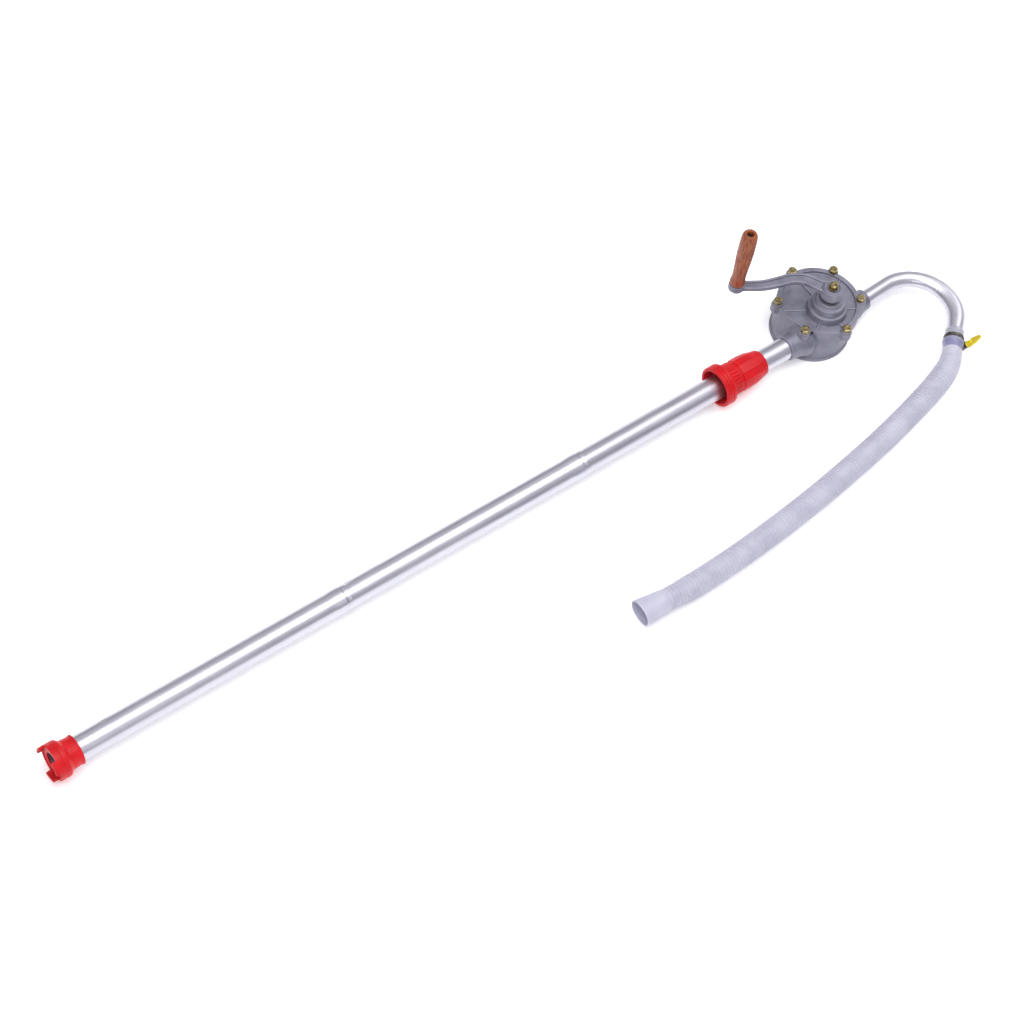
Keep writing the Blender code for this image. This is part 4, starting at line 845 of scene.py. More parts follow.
@dataclass
class PumpBody:
    """Casing, gasket, ribbed cover and the bolts that join them."""

    shop: Workshop
    centre_y: float = 0.015
    flange_radius: float = 0.0560
    drawn_in_radius: float = 0.0492      # the flange between the three ears on the suction side
    wall_radius: float = 0.0525
    foot_radius: float = 0.0515
    lip_radius: float = 0.0540
    lip_height: float = 0.0035
    back_offset: tuple[float, float] = (-0.0058, -0.0019)       # the back's centre, from the flange's
    flange_depth: float = 0.008
    bolt_circle: float = 0.056
    ear_radius: float = 0.0078
    pad_radius: float = 0.0068
    first_bolt: float = -30.0
    seam: float = 0.0005                # paint closes the joint over the gasket by this much from each side
    chamber_radius: float = 0.0380
    chamber_y: float = 0.007
    chamber_floor: float = 0.008
    tube_axis: tuple[float, float] = (-0.0073, 0.028)
    inlet_radius: float = 0.0178
    inlet_end: float = -0.073
    outlet_axis: tuple[float, float] = (-0.0013, 0.028)
    outlet_radius: float = 0.0145
    outlet_end: float = 0.073
    recess: float = 0.0030
    rim_width: float = 0.0062
    rib_width: float = 0.0022
    tier_radii: tuple[float, ...] = (0.0262, 0.0220, 0.0165)
    tier_tops: tuple[float, ...] = (0.0635, 0.0740, 0.0790)
    head_flats: float = 0.0108
    head_height: float = 0.0048

    def __post_init__(self) -> None:
        """Reads the split's heights and the bolts' places from the frame."""
        self.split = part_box("cover_gasket")[0].z - 0.0003
        self.cover_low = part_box("cover_gasket")[1].z + 0.0003 - self.seam
        self.cover_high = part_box("cover_bolt_1")[1].z - self.head_height - 0.0003
        self.bolt_angles = [math.radians(self.first_bolt + 60 * i) for i in range(6)]
        self.bolt_spots = [
            Vector((self.bolt_circle * math.cos(a), self.centre_y + self.bolt_circle * math.sin(a)))
            for a in self.bolt_angles
        ]
        self.upright = Axle(Vector((0, self.centre_y, 0)), Z, X)

    def base_radius(self, angle: float) -> float:
        """The flange's radius between its ears, drawn in on the suction side."""
        turn = math.degrees(angle) % 360
        share = soft_step(turn, 150, 180) * (1 - soft_step(turn, 240, 270))
        return self.flange_radius - share * (self.flange_radius - self.drawn_in_radius)

    def outline(self, shrink: float = 0.0, steps: int = 360) -> list[tuple[float, float]]:
        """The lobed outline that casing, gasket and cover share, in X and Y."""
        points = []
        ear = self.ear_radius - shrink
        for k in range(steps):
            angle = 2 * math.pi * k / steps
            radius = self.base_radius(angle) - shrink
            for bolt in self.bolt_angles:
                off = math.sin(angle - bolt) * self.bolt_circle
                if abs(off) < ear and math.cos(angle - bolt) > 0:
                    edge = math.cos(angle - bolt) * self.bolt_circle + math.sqrt(ear**2 - off**2)
                    radius = max(radius, edge)
            points.append((radius * math.cos(angle), self.centre_y + radius * math.sin(angle)))
        return points

    def casing(self) -> None:
        """The bowl: tapered wall, back lip, flange with ears, and the two tube bosses with wide fillets."""

        def follow_flange(along: float, radius: float, angle: float) -> tuple[float, float]:
            """Keeps the wall's top inside the drawn-in flange."""
            if radius < 0.02:
                return along, radius
            share = soft_step(along, 0.004, 0.046)
            tuck = max(0.0, self.wall_radius - self.base_radius(angle) + 0.0006)
            fillet = self.base_radius(angle) - 0.0003 - 0.4 * max(0.0, self.split - 0.005 - along)
            return along, max(radius - tuck * share, fillet)

        def leaned(piece: bpy.types.Object) -> bpy.types.Object:
            """Leans a piece so that its back lies nearer the suction side."""
            for corner in piece.data.vertices:
                corner.co += (1 - corner.co.z / self.split) * Vector((*self.back_offset, 0))
            return piece

        lip = rounded([
            (0, 0), (0, self.lip_radius), (self.lip_height, self.lip_radius),
            (self.lip_height + 0.0006, self.lip_radius - 0.002), (self.lip_height + 0.0006, 0),
        ], 0.001)
        heights = [0.001 + (self.split - 0.001) * k / 24 for k in range(25)]
        slope = [(z, self.foot_radius + (self.wall_radius - self.foot_radius) * z / self.split) for z in heights]
        wall = [(0.001, 0), *slope, (self.split, 0)]
        tube_y, tube_z = self.tube_axis
        inlet = Axle(Vector((self.inlet_end, tube_y, tube_z)), X, Y)
        depth = -self.inlet_end - 0.02
        inlet_profile = rounded([
            (0, 0), (0, self.inlet_radius), (0.009, self.inlet_radius), (0.017, self.inlet_radius + 0.0014),
            (0.025, self.inlet_radius + 0.0042), (0.031, self.inlet_radius + 0.0058),
            (0.037, self.inlet_radius + 0.0030), (depth, self.inlet_radius - 0.002), (depth, 0),
        ], 0.003)
        out_y, out_z = self.outlet_axis
        outlet = Axle(Vector((self.outlet_end, out_y, out_z)), -X, Y)
        outlet_profile = rounded([
            (0, 0), (0, self.outlet_radius), (0.007, self.outlet_radius), (0.017, self.outlet_radius + 0.0028),
            (0.026, self.outlet_radius + 0.0065), (0.034, self.outlet_radius + 0.003),
            (0.05, self.outlet_radius - 0.002), (0.05, 0),
        ], 0.003)
        parts = [
            leaned(lathe("casing_lip", self.upright, lip, 120)),
            leaned(lathe("casing_wall", self.upright, wall, 120, follow_flange)),
            prism("casing_flange", self.outline(), self.split - self.flange_depth, self.split + self.seam),
            lathe("casing_inlet", inlet, inlet_profile, 64),
            lathe("casing_outlet", outlet, outlet_profile, 64),
        ]
        for spot in self.bolt_spots:
            below = Axle(Vector((*spot, self.split - self.flange_depth - 0.0045)), Z, X)
            girth = self.ear_radius - 0.0006
            boss = [(0, 0), (0, 0.0045), (0.0035, girth), (0.010, girth), (0.010, 0)]
            parts.append(lathe("casing_ear", below, boss, 32))
        casing = fuse("pump_casing_shell", parts, 0.00075, 5)
        chamber = Axle(Vector((0, self.chamber_y, self.chamber_floor)), Z, X)
        inner = self.chamber_radius
        tube_bore, spout_bore = 0.0153, 0.0108
        carve(casing, [
            lathe("chamber", chamber, [(0, 0), (0, inner), (0.06, inner), (0.06, 0)], 96),
            lathe("rear_bore", Axle(Vector((0, 0, 0.0035)), Z, X), [(0, 0), (0, 0.0093), (0.02, 0.0093), (0.02, 0)], 48),
            lathe("inlet_bore", inlet, rounded([
                (-0.01, 0), (-0.01, tube_bore + 0.010), (0.0008, tube_bore), (0.0218, tube_bore),
                (0.0218, 0.0125), (0.05, 0.0125), (0.05, 0)], 1e-5, 1), 64),
            lathe("outlet_bore", outlet, [
                (-0.01, 0), (-0.01, spout_bore), (0.0183, spout_bore), (0.0183, 0.0093), (0.05, 0.0093), (0.05, 0)], 48),
            *[lathe(f"bolt_bore_{i}", Axle(Vector((*spot, 0.0425)), Z, X),
                    [(0, 0), (0, 0.0028), (0.02, 0.0028), (0.02, 0)], 24) for i, spot in enumerate(self.bolt_spots)],
        ])
        self.shop.fit(casing, Slot.CASTING, Body.HOUSING, "pump_casing")

    def gasket(self) -> None:
        """A thin sheet with the flange's outline, its edge just short of the castings."""
        outer = np.array(self.outline(0.0006))
        angles = np.arange(len(outer)) * 2 * math.pi / len(outer)
        inner = np.column_stack([
            (self.chamber_radius + 0.001) * np.cos(angles),
            self.chamber_y + (self.chamber_radius + 0.001) * np.sin(angles),
        ])
        low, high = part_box("cover_gasket")[0].z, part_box("cover_gasket")[1].z
        rings = [np.column_stack([flat, np.full(len(flat), z)])
                 for flat, z in ((outer, low), (outer, high), (inner, high), (inner, low))]
        self.shop.fit(loft("flange_gasket", np.array(rings)), Slot.PAPER, Body.HOUSING, "cover_gasket")

    def rim_height(self, angle: float) -> float:
        """How much of the raised rim stands at an angle: all of it except on the suction side."""
        turn = math.degrees(angle) % 360
        return 1 - soft_step(turn, 140, 158) * (1 - soft_step(turn, 262, 280))

    def cover(self) -> None:
        """Web, partial raised rim, ear pads, six radial ribs and the three-step bearing boss."""
        web_top = self.cover_high - self.recess
        outline = self.outline()
        parts = [prism("cover_web", outline, self.cover_low, web_top)]
        steps = 240
        angles = np.arange(steps) * 2 * math.pi / steps
        outer = np.array([self.base_radius(a) for a in angles])
        crest = np.array([web_top - 0.0006 + (self.recess + 0.0006) * self.rim_height(a) for a in angles])
        foot = np.full(steps, self.cover_low + 0.001)
        rings = [
            self.upright.points(height, radius, angles)
            for height, radius in (
                (foot, outer), (crest, outer), (crest, outer - self.rim_width),
                (foot, outer - self.rim_width - 0.0006),
            )
        ]
        parts.append(loft("cover_rim", np.array(rings)))
        for spot in self.bolt_spots:
            pad = Axle(Vector((*spot, self.cover_low)), Z, X)
            top = self.cover_high - self.cover_low
            girth = self.pad_radius
            parts.append(lathe("cover_ear", pad, [(0, 0), (0, girth + 0.001), (top, girth), (top, 0)], 40))
        for bolt in self.bolt_angles:
            heading = Vector((math.cos(bolt), math.sin(bolt), 0))
            to_centre = Vector((0, self.centre_y, 0))
            along = heading.dot(to_centre)
            inside = self.base_radius(bolt) - self.rim_width + 0.001
            reach = along + math.sqrt(inside**2 - to_centre.length_squared + along**2)
            start = self.tier_radii[0] - 0.004
            place = Matrix.Translation(heading * (start + reach) / 2 + Z * (self.cover_low + 0.0025))
            size = (reach - start, self.rib_width, 2 * (web_top + 0.0019 - self.cover_low - 0.0025))
            parts.append(box("cover_rib", size, place @ Matrix.Rotation(bolt, 4, "Z")))
        profile = [(self.cover_low + 0.0005, 0), (self.cover_low + 0.0005, self.tier_radii[0] + 0.002)]
        base = web_top
        for radius, top in zip(self.tier_radii, self.tier_tops):
            profile += [(base, radius + 0.0008), (top, radius - 0.0004)]
            base = top
        profile.append((self.tier_tops[-1], 0))
        parts.append(lathe("cover_boss", Axle(Vector(), Z, X), rounded(profile, 0.0022, 4), 96))
        cover = fuse("ribbed_front_cover", parts, 0.0005, 3)
        shaft = Axle(Vector(), Z, X)
        low, high = self.cover_low - 0.01, self.tier_tops[-1] + 0.01
        bush_end, seal_floor = self.cover_low + 0.0133, self.tier_tops[-1] - 0.0063
        carve(cover, [
            lathe("shaft_bore", shaft, [
                (low, 0), (low, 0.0093), (bush_end, 0.0093), (bush_end, 0.0063), (seal_floor, 0.0063),
                (seal_floor, 0.0108), (high, 0.0108), (high, 0)], 64),
            *[lathe(f"cover_bolt_bore_{i}", Axle(Vector((*spot, self.cover_low - 0.005)), Z, X),
                    [(0, 0), (0, 0.0031), (0.02, 0.0031), (0.02, 0)], 24)
              for i, spot in enumerate(self.bolt_spots)],
        ])
        self.shop.fit(cover, Slot.CASTING, Body.HOUSING, "front_cover")

    def bolts(self) -> None:
        """Six hexagon bolts with chamfered, dished heads."""
        for i, spot in enumerate(self.bolt_spots):
            seat = Vector((*spot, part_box(f"cover_bolt_{i + 1}")[1].z - self.head_height))
            bolt = hex_bolt(f"flange_bolt_{i + 1}", seat, self.head_flats, self.head_height, 0.0025, 0.0125, 11.0 * i)
            self.shop.fit(bolt, Slot.ZINC, Body.HOUSING, f"cover_bolt_{i + 1}")


def hex_bolt(
    name: str, seat: Vector, flats: float, head: float, shank: float, length: float, turn: float
) -> bpy.types.Object:
    """A hexagon bolt with a washer face, a chamfered dished head and a rolled thread.

    Args:
        name: the piece's name.
        seat: centre of the underside of the head.
        flats: width across the flats.
        head: height of the head.
        shank: radius of the thread's crest.
        length: length under the head.
        turn: how far the hexagon is turned, in degrees.

    Returns:
        The bolt.
    """
    corner = flats / 2 / math.cos(math.pi / 6)
    profile: list[tuple[float, float]] = [(-length, 0), (-length, shank * 0.7)]
    pitch = 0.0008
    turns = int((length - 0.003) / pitch)
    for k in range(turns):
        at = -length + 0.0006 + k * pitch
        profile += [(at, shank * 0.88), (at + pitch / 2, shank)]
    profile += [
        (-0.0015, shank * 0.95), (0, shank * 0.95), (0, flats * 0.47), (0.0003, flats * 0.47),
        (0.0003, corner), (head * 0.72, corner), (head * 0.93, corner * 0.9), (head, corner * 0.78),
        (head, corner * 0.55), (head * 0.94, corner * 0.48), (head * 0.92, corner * 0.2), (head * 0.92, 0),
    ]

    def hexagon(along: float, radius: float, angle: float) -> tuple[float, float]:
        """Trims the head's outer points to a hexagon."""
        if along < 0.0002 or radius < flats * 0.4:
            return along, radius
        off = (angle + math.radians(turn)) % (math.pi / 3) - math.pi / 6
        return along, min(radius, flats / 2 / math.cos(off))

    return lathe(name, Axle(seat, Z, X), profile, 72, hexagon, sharp=30)


@dataclass
class Crank:
    """The cast arm with its hub and end boss, its bolt, and the wooden grip on its spindle."""

    shop: Workshop
    skirt: float = 0.0075
    hub_radius: float = 0.0160
    neck_radius: float = 0.0128
    collar_radius: float = 0.0115
    collar_height: float = 0.002
    arm_lift: float = 0.0050
    arm_height: float = 0.0072
    width_at_hub: float = 0.0185
    width_at_end: float = 0.0125
    rim: float = 0.0027
    channel: float = 0.0024
    boss_radius: float = 0.0103
    square: float = 0.0090
    spindle_hole: float = 0.0028
    route: tuple[tuple[float, float, float], ...] = (
        (0.000, 0.000, 0), (-0.0095, 0.016, 0), (-0.0175, 0.032, 0), (-0.033, 0.0435, 0), (-0.052, 0.0490, 0),
        (-0.072, 0.0555, 0), (-0.088, 0.0645, 0), (-0.1035, 0.0738, 0),
    )

    def __post_init__(self) -> None:
        """Reads the crank's heights from the frame."""
        self.hub_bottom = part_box("crank_arm")[0].z
        self.crank_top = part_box("crank_washer")[0].z - 0.0003
        self.skirt_top = self.hub_bottom + self.skirt
        self.hub_top = self.crank_top - self.collar_height
        self.arm_bottom = self.hub_bottom + self.arm_lift
        self.arm_top = self.arm_bottom + self.arm_height

    def arm(self) -> None:
        """S-shaped web with raised edges, fused to the hub and the end boss."""
        path = smooth_route(self.route, 0.002)
        ahead = np.gradient(path, axis=0)
        ahead /= np.linalg.norm(ahead, axis=1)[:, None]
        side = np.cross(np.array(Z), ahead)
        share = np.linspace(0, 1, len(path))
        half = (self.width_at_hub + (self.width_at_end - self.width_at_hub) * share**0.6) / 2
        floor = self.arm_top - self.channel
        rings = []
        for place, across, width in zip(path, side, half):
            inner = width - self.rim
            section = [
                (-width, self.arm_bottom + 0.001), (-width + 0.001, self.arm_bottom), (width - 0.001, self.arm_bottom),
                (width, self.arm_bottom + 0.001), (width, self.arm_top), (inner, self.arm_top),
                (inner - 0.0008, floor), (0.0008 - inner, floor), (-inner, self.arm_top), (-width, self.arm_top),
            ]
            rings.append([place + w * across + z * np.array(Z) for w, z in section])
        web = loft("arm_web", np.array(rings), ring_closes=False)
        waist = self.hub_bottom + 0.0030
        hub_profile = rounded([
            (self.hub_bottom, 0), (self.hub_bottom, self.hub_radius - 0.0016), (waist, self.hub_radius - 0.0014),
            (waist + 0.0008, self.hub_radius), (self.skirt_top, self.hub_radius),
            (self.skirt_top + 0.0040, self.neck_radius + 0.0006), (self.hub_top, self.neck_radius),
            (self.hub_top, self.collar_radius), (self.crank_top, self.collar_radius - 0.0003),
            (self.crank_top, self.collar_radius - 0.0022), (self.crank_top - 0.0012, self.collar_radius - 0.0032),
            (self.crank_top - 0.0012, 0),
        ], 0.0008)
        end = Vector(self.route[-1])
        low, high = self.arm_bottom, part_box("grip_washer")[0].z - 0.0003
        boss = rounded([(low, 0), (low, self.boss_radius), (high, self.boss_radius), (high, 0)], 0.0016)
        parts = [
            web,
            lathe("arm_hub", Axle(Vector(), Z, X), hub_profile, 80),
            lathe("arm_boss", Axle(end, Z, X), boss, 56),
        ]
        arm = fuse("crank_arm_casting", parts, 0.0004, 2)
        bore = Matrix.Translation(Z * (self.hub_bottom + self.crank_top) / 2)
        carve(arm, [
            box("square_bore", (self.square, self.square, 0.04), bore),
            lathe("spindle_bore", Axle(end, Z, X), [
                (low - 0.01, 0), (low - 0.01, self.spindle_hole), (high + 0.01, self.spindle_hole),
                (high + 0.01, 0)], 32),
        ])
        self.shop.fit(arm, Slot.CASTING, Body.CRANK, "crank_arm")

    def fixing(self) -> None:
        """The bolt that holds the arm on the shaft's square; its washer keeps the CAD shape."""
        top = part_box("crank_bolt")[1].z
        bolt = hex_bolt("hub_bolt", Vector((0, 0, top - 0.0048)), 0.010, 0.0048, 0.0025, 0.018, 8.0)
        self.shop.fit(bolt, Slot.ZINC, Body.CRANK, "crank_bolt")
        self.shop.dress_node("crank_washer", Slot.ZINC)

    def grip(self) -> None:
        """Turned beech grip with a domed, recessed top and a faint ring, and the riveted spindle in it."""
        low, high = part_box("wooden_grip")[0].z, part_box("wooden_grip")[1].z
        length = high - low
        spot = Axle(Vector(self.route[-1]), Z, X)
        bore, recess = 0.0028, 0.0042
        body = [
            (0.0, 0.0088), (0.0008, 0.0097), (0.0020, 0.0101), (0.055 * length, 0.0100), (0.085 * length, 0.0094),
            (0.13 * length, 0.0090), (0.20 * length, 0.0091), (0.30 * length, 0.0095), (0.42 * length, 0.0101),
            (0.555 * length, 0.0107), (0.560 * length, 0.0105), (0.566 * length, 0.0107), (0.66 * length, 0.0109),
            (0.76 * length, 0.0109), (0.86 * length, 0.0107), (length - 0.0075, 0.0104), (length - 0.0045, 0.0100),
            (length - 0.0022, 0.0092), (length - 0.0007, 0.0081), (length, 0.0068), (length - 0.0002, 0.0056),
            (length - 0.0010, recess + 0.0004), (length - 0.0020, recess),
        ]
        profile = [(low + a, r) for a, r in body]
        profile += [(high - 0.006, recess), (high - 0.006, bore), (low, bore)]
        grip = lathe("turned_wooden_grip", spot, profile, 72)
        self.shop.fit(grip, Slot.WOOD, Body.GRIP, "wooden_grip")
        foot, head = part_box("grip_spindle")[0].z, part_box("grip_spindle")[1].z
        seat = self.arm_bottom - 0.0003
        rivet = rounded([
            (foot, 0), (foot + 0.0002, 0.0028), (foot + 0.0010, 0.0041), (seat, 0.0043), (seat, 0.0025),
            (head - 0.002, 0.0025), (head - 0.002, 0.0036), (head - 0.0008, 0.0034), (head, 0.0024),
            (head, 0.0012), (head - 0.0008, 0.0006), (head - 0.0008, 0),
        ], 0.0003)
        spindle = lathe("riveted_spindle", spot, rivet, 48)
        # The spindle's near-black finish is painted shade in the grip's recess.
        self.shop.fit(spindle, Slot.STEEL, Body.CRANK, "grip_spindle", finish=RecessShadeSteel())
        self.shop.dress_node("grip_washer", Slot.STEEL)


@dataclass
class SuctionTube:
    """Three push-fit sections of drawn tube and the red strainer on the foot."""

    shop: Workshop
    radius: float = 0.016
    wall: float = 0.0007
    neck_radius: float = 0.015
    neck_end: float = -0.146
    spigot_radius: float = 0.0154
    spigot: float = 0.015
    bell_radius: float = 0.0164
    bead: float = 0.00035
    prongs: int = 3
    prong_spread: float = 44.0
    first_prong: float = 137.0
    prong_length: float = 0.0064

    def __post_init__(self) -> None:
        """Reads the axis and the joints from the frame."""
        low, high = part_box("tube_section_2")
        middle = (low + high) / 2
        self.axle = Axle(Vector((0, middle.y, middle.z)), X, Y)
        self.seams = [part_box("tube_section_2")[1].x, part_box("tube_section_3")[1].x]
        self.top, self.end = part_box("tube_section_1")[1].x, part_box("tube_section_3")[0].x

    def section(self, name: str, top: float, seam: float | None, neck: bool, dents: Sequence[tuple[float, float]]) -> bpy.types.Object:
        """One tube section.

        Args:
            name: the piece's name.
            top: x of its upper end.
            seam: x of the joint at its lower end, or None at the foot.
            neck: whether its upper end is the neck that enters the casing, and not a bell.
            dents: x and angle in degrees of the punched stops.

        Returns:
            The hollow section.
        """
        if neck:
            outer = [(top, self.neck_radius), (self.neck_end, self.neck_radius), (self.neck_end - 0.004, self.radius)]
        else:
            end = top - self.spigot
            outer = [
                (top, self.bell_radius + 0.0001), (top - 0.0008, self.bell_radius + 0.0004),
                (top - 0.0020, self.bell_radius + 0.0002), (end, self.bell_radius),
                (end - 0.0018, self.radius),
            ]
        if seam is not None:
            # A rolled bead and a slight swage mark the end of the full-size tube.
            outer += [
                (seam + 0.0082, self.radius), (seam + 0.0070, self.radius + self.bead),
                (seam + 0.0056, self.radius + self.bead), (seam + 0.0044, self.radius),
                (seam + 0.0006, self.radius), (seam + 0.0003, self.spigot_radius),
                (seam - self.spigot + 0.0003, self.spigot_radius),
            ]
        else:
            outer.append((self.end, self.radius))
        fine: list[tuple[float, float]] = []
        for (a, r), (b, q) in zip(outer, outer[1:]):
            count = max(1, round(abs(a - b) / 0.004)) if any(min(a, b) < x < max(a, b) for x, _ in dents) else 1
            fine += [(a + (b - a) * k / count, r + (q - r) * k / count) for k in range(count)]
        fine.append(outer[-1])
        inner = [(a, r - self.wall) for a, r in fine[::-1]]

        def dented(along: float, radius: float, angle: float) -> tuple[float, float]:
            """Presses the punched stops into the wall."""
            for x, turn in dents:
                off = (angle - math.radians(turn) + math.pi) % (2 * math.pi) - math.pi
                near = ((along - x) / 0.0035) ** 2 + (off * radius / 0.0028) ** 2
                radius -= 0.0011 * math.exp(-near)
            return along, radius

        return lathe(name, self.axle, fine + inner, 96, dented if dents else None, sharp=50)

    def build(self) -> None:
        """All three sections and the strainer."""
        first = self.section("upper_tube", self.top, self.seams[0], True, [])
        self.shop.fit(first, Slot.TUBE, Body.HOUSING, "tube_section_1")
        second = self.section("middle_tube_section", self.seams[0], self.seams[1], False, [(self.seams[1] + 0.011, 50)])
        self.shop.fit(second, Slot.TUBE, Body.MIDDLE_TUBE, "tube_section_2")
        third = self.section("foot_tube_section", self.seams[1], None, False, [(self.end + 0.071, 62), (self.end + 0.071, 242)])
        self.shop.fit(third, Slot.TUBE, Body.FOOT_TUBE, "tube_section_3")
        self.strainer()

    def strainer(self) -> None:
        """Moulded foot: flared lip, ribbed neck, ring and three prongs that stand it off the drum's floor."""
        low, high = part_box("foot_strainer")
        ring_end = low.x + self.prong_length
        lip, ring_start = high.x, high.x - 0.019
        bore, mouth, ring = self.radius + 0.0003, 0.0135, (high.z - low.z) / 2
        stop = self.end - 0.0003
        profile = rounded([
            (lip, bore), (lip, 0.0193), (lip - 0.0022, 0.0191), (lip - 0.004, 0.0183), (lip - 0.007, 0.0185),
            (ring_start + 0.0035, 0.0191), (ring_start - 0.0006, ring - 0.0006), (ring_start - 0.0025, ring),
            (ring_start - 0.0066, ring), (ring_start - 0.0072, ring - 0.0005), (ring_start - 0.0078, ring),
            (ring_end + 0.0004, ring), (low.x, ring - 0.0002), (low.x, ring - 0.0030),
            (ring_end + 0.0012, ring - 0.0030), (ring_end + 0.0012, mouth), (stop, mouth), (stop, bore),
        ], 0.0004, 2)

        def castellated(along: float, radius: float, angle: float) -> tuple[float, float]:
            """Cuts the edge back between the prongs and adds grip ribs on the neck."""
            turn = math.degrees(angle)
            nearest = min(
                abs((turn - self.first_prong - k * 360 / self.prongs + 180) % 360 - 180) for k in range(self.prongs)
            )
            if along < ring_end and nearest > self.prong_spread / 2:
                along = ring_end
            if ring_start + 0.003 < along < lip - 0.005 and radius > 0.0175:
                radius += 0.00015 * max(0.0, math.cos(18 * angle)) ** 2
            return along, radius

        foot = lathe("red_foot_strainer", self.axle, profile, 240, castellated, sharp=35)
        self.shop.fit(foot, Slot.RED, Body.FOOT_TUBE, "foot_strainer")


@dataclass
class BungAdapter:
    """The red clamp nut and collar that hold the pump on a drum."""

    shop: Workshop
    facets: int = 12
    flutes: int = 26
    flute_depth: float = 0.0011
    bore: float = 0.0163
    thread: float = 0.0199
    seat: float = 0.0184

    def __post_init__(self) -> None:
        """Reads the adapter's axis and ends from the frame."""
        low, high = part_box("clamp_nut")
        middle = (low + high) / 2
        self.axle = Axle(Vector((0, middle.y, middle.z)), X, Z)
        self.nut_low, self.nut_high, self.nut_radius = low.x, high.x, (high.y - low.y) / 2
        self.rim, self.sleeve_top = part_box("bung_collar")[0].x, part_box("bung_collar")[1].x
        self.flange_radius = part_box("bung_collar")[1].z - middle.z

    def nut(self) -> None:
        """A faceted, ribbed clamp nut with a stepped, tapering nose."""
        top, bottom, full = self.nut_high, self.nut_low, self.nut_radius
        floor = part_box("thrust_ring")[1].x + 0.0003
        profile = rounded([
            (top, self.bore), (top, 0.0171), (top - 0.0008, 0.0177), (top - 0.0060, 0.0187),
            (top - 0.0090, 0.0191), (top - 0.0150, 0.0206), (top - 0.0165, 0.0208), (top - 0.0210, 0.0213),
            (top - 0.0280, full), (bottom + 0.0030, full), (bottom + 0.0018, full - 0.0004),
            (bottom + 0.0013, full - 0.0018), (bottom, full - 0.0019), (bottom, self.thread),
            (self.sleeve_top - 0.0005, self.thread), (floor, self.seat), (floor, self.bore),
        ], 0.0005, 2)

        def faceted(along: float, radius: float, angle: float) -> tuple[float, float]:
            """Broad flats with a narrow rib on each corner, fading out at the nose."""
            if radius < 0.0170 or along > top - 0.003 or radius < self.thread and along < self.sleeve_top:
                return along, radius
            fade = soft_step(top - along, 0.003, 0.016)
            step = 2 * math.pi / self.facets
            off = (angle % step) - step / 2
            flat = math.cos(step / 2) / math.cos(off)
            rib = 0.0005 * max(0.0, 1 - abs(abs(off) - step / 2) / 0.09)
            return along, radius * (1 - 0.2 * fade * (1 - flat)) + fade * rib

        self.shop.fit(lathe("ribbed_clamp_nut", self.axle, profile, 240, faceted, sharp=30), Slot.RED, Body.NUT, "clamp_nut")

    def collar(self) -> None:
        """Threaded sleeve, fluted band, stepped flange and the open cup with its inner thread."""
        seam, rim, out = self.nut_low - 0.0003, self.rim, self.flange_radius
        band_end = seam - 0.0155
        flange_start = band_end - 0.0022
        cup_floor = rim + 0.015
        thread = []
        for k in range(4):
            at = rim + 0.0022 + 0.0026 * k
            thread += [(at, 0.0232), (at + 0.0008, 0.0226), (at + 0.0014, 0.0226), (at + 0.0022, 0.0232)]
        screw = []
        for k in range(7):
            at = self.sleeve_top - 0.002 - 0.003 * k
            screw += [(at, 0.0196), (at - 0.0008, 0.0192), (at - 0.0016, 0.0192), (at - 0.0024, 0.0196)]
        profile = [
            (self.sleeve_top, self.seat), (self.sleeve_top, 0.0191), *screw, (seam, 0.0196), (seam, 0.0202),
            (seam - 0.0012, 0.0203), (seam - 0.0018, 0.0217), (seam - 0.0030, 0.0221), (band_end + 0.0015, 0.0223), (band_end, 0.0226),
            (band_end - 0.0008, 0.0243), (flange_start, out - 0.0012), (flange_start - 0.0008, out - 0.0003),
            (flange_start - 0.0020, out), (flange_start - 0.0052, out), (flange_start - 0.0058, out - 0.0007),
            (flange_start - 0.0064, out - 0.0001), (flange_start - 0.0096, out - 0.0001),
            (flange_start - 0.0102, out - 0.0008), (flange_start - 0.0108, out - 0.0002),
            (rim + 0.0012, out - 0.0003), (rim + 0.0003, out - 0.0010), (rim, out - 0.0018),
            (rim, 0.0240), (rim + 0.0008, 0.0233), *thread, (cup_floor - 0.001, 0.0226), (cup_floor, 0.0216),
            (cup_floor, 0.0168), (self.sleeve_top - 0.011, 0.0168), (self.sleeve_top - 0.011, self.seat),
        ]

        def fluted(along: float, radius: float, angle: float) -> tuple[float, float]:
            """Presses short grooves into the band."""
            if band_end + 0.0012 < along < seam - 0.0008 and radius > 0.0205:
                radius -= self.flute_depth * max(0.0, math.cos(self.flutes * angle)) ** 1.5
            return along, radius

        piece = lathe("fluted_bung_collar", self.axle, profile, 312, fluted, sharp=35)
        self.shop.fit(piece, Slot.RED, Body.COLLAR, "bung_collar")


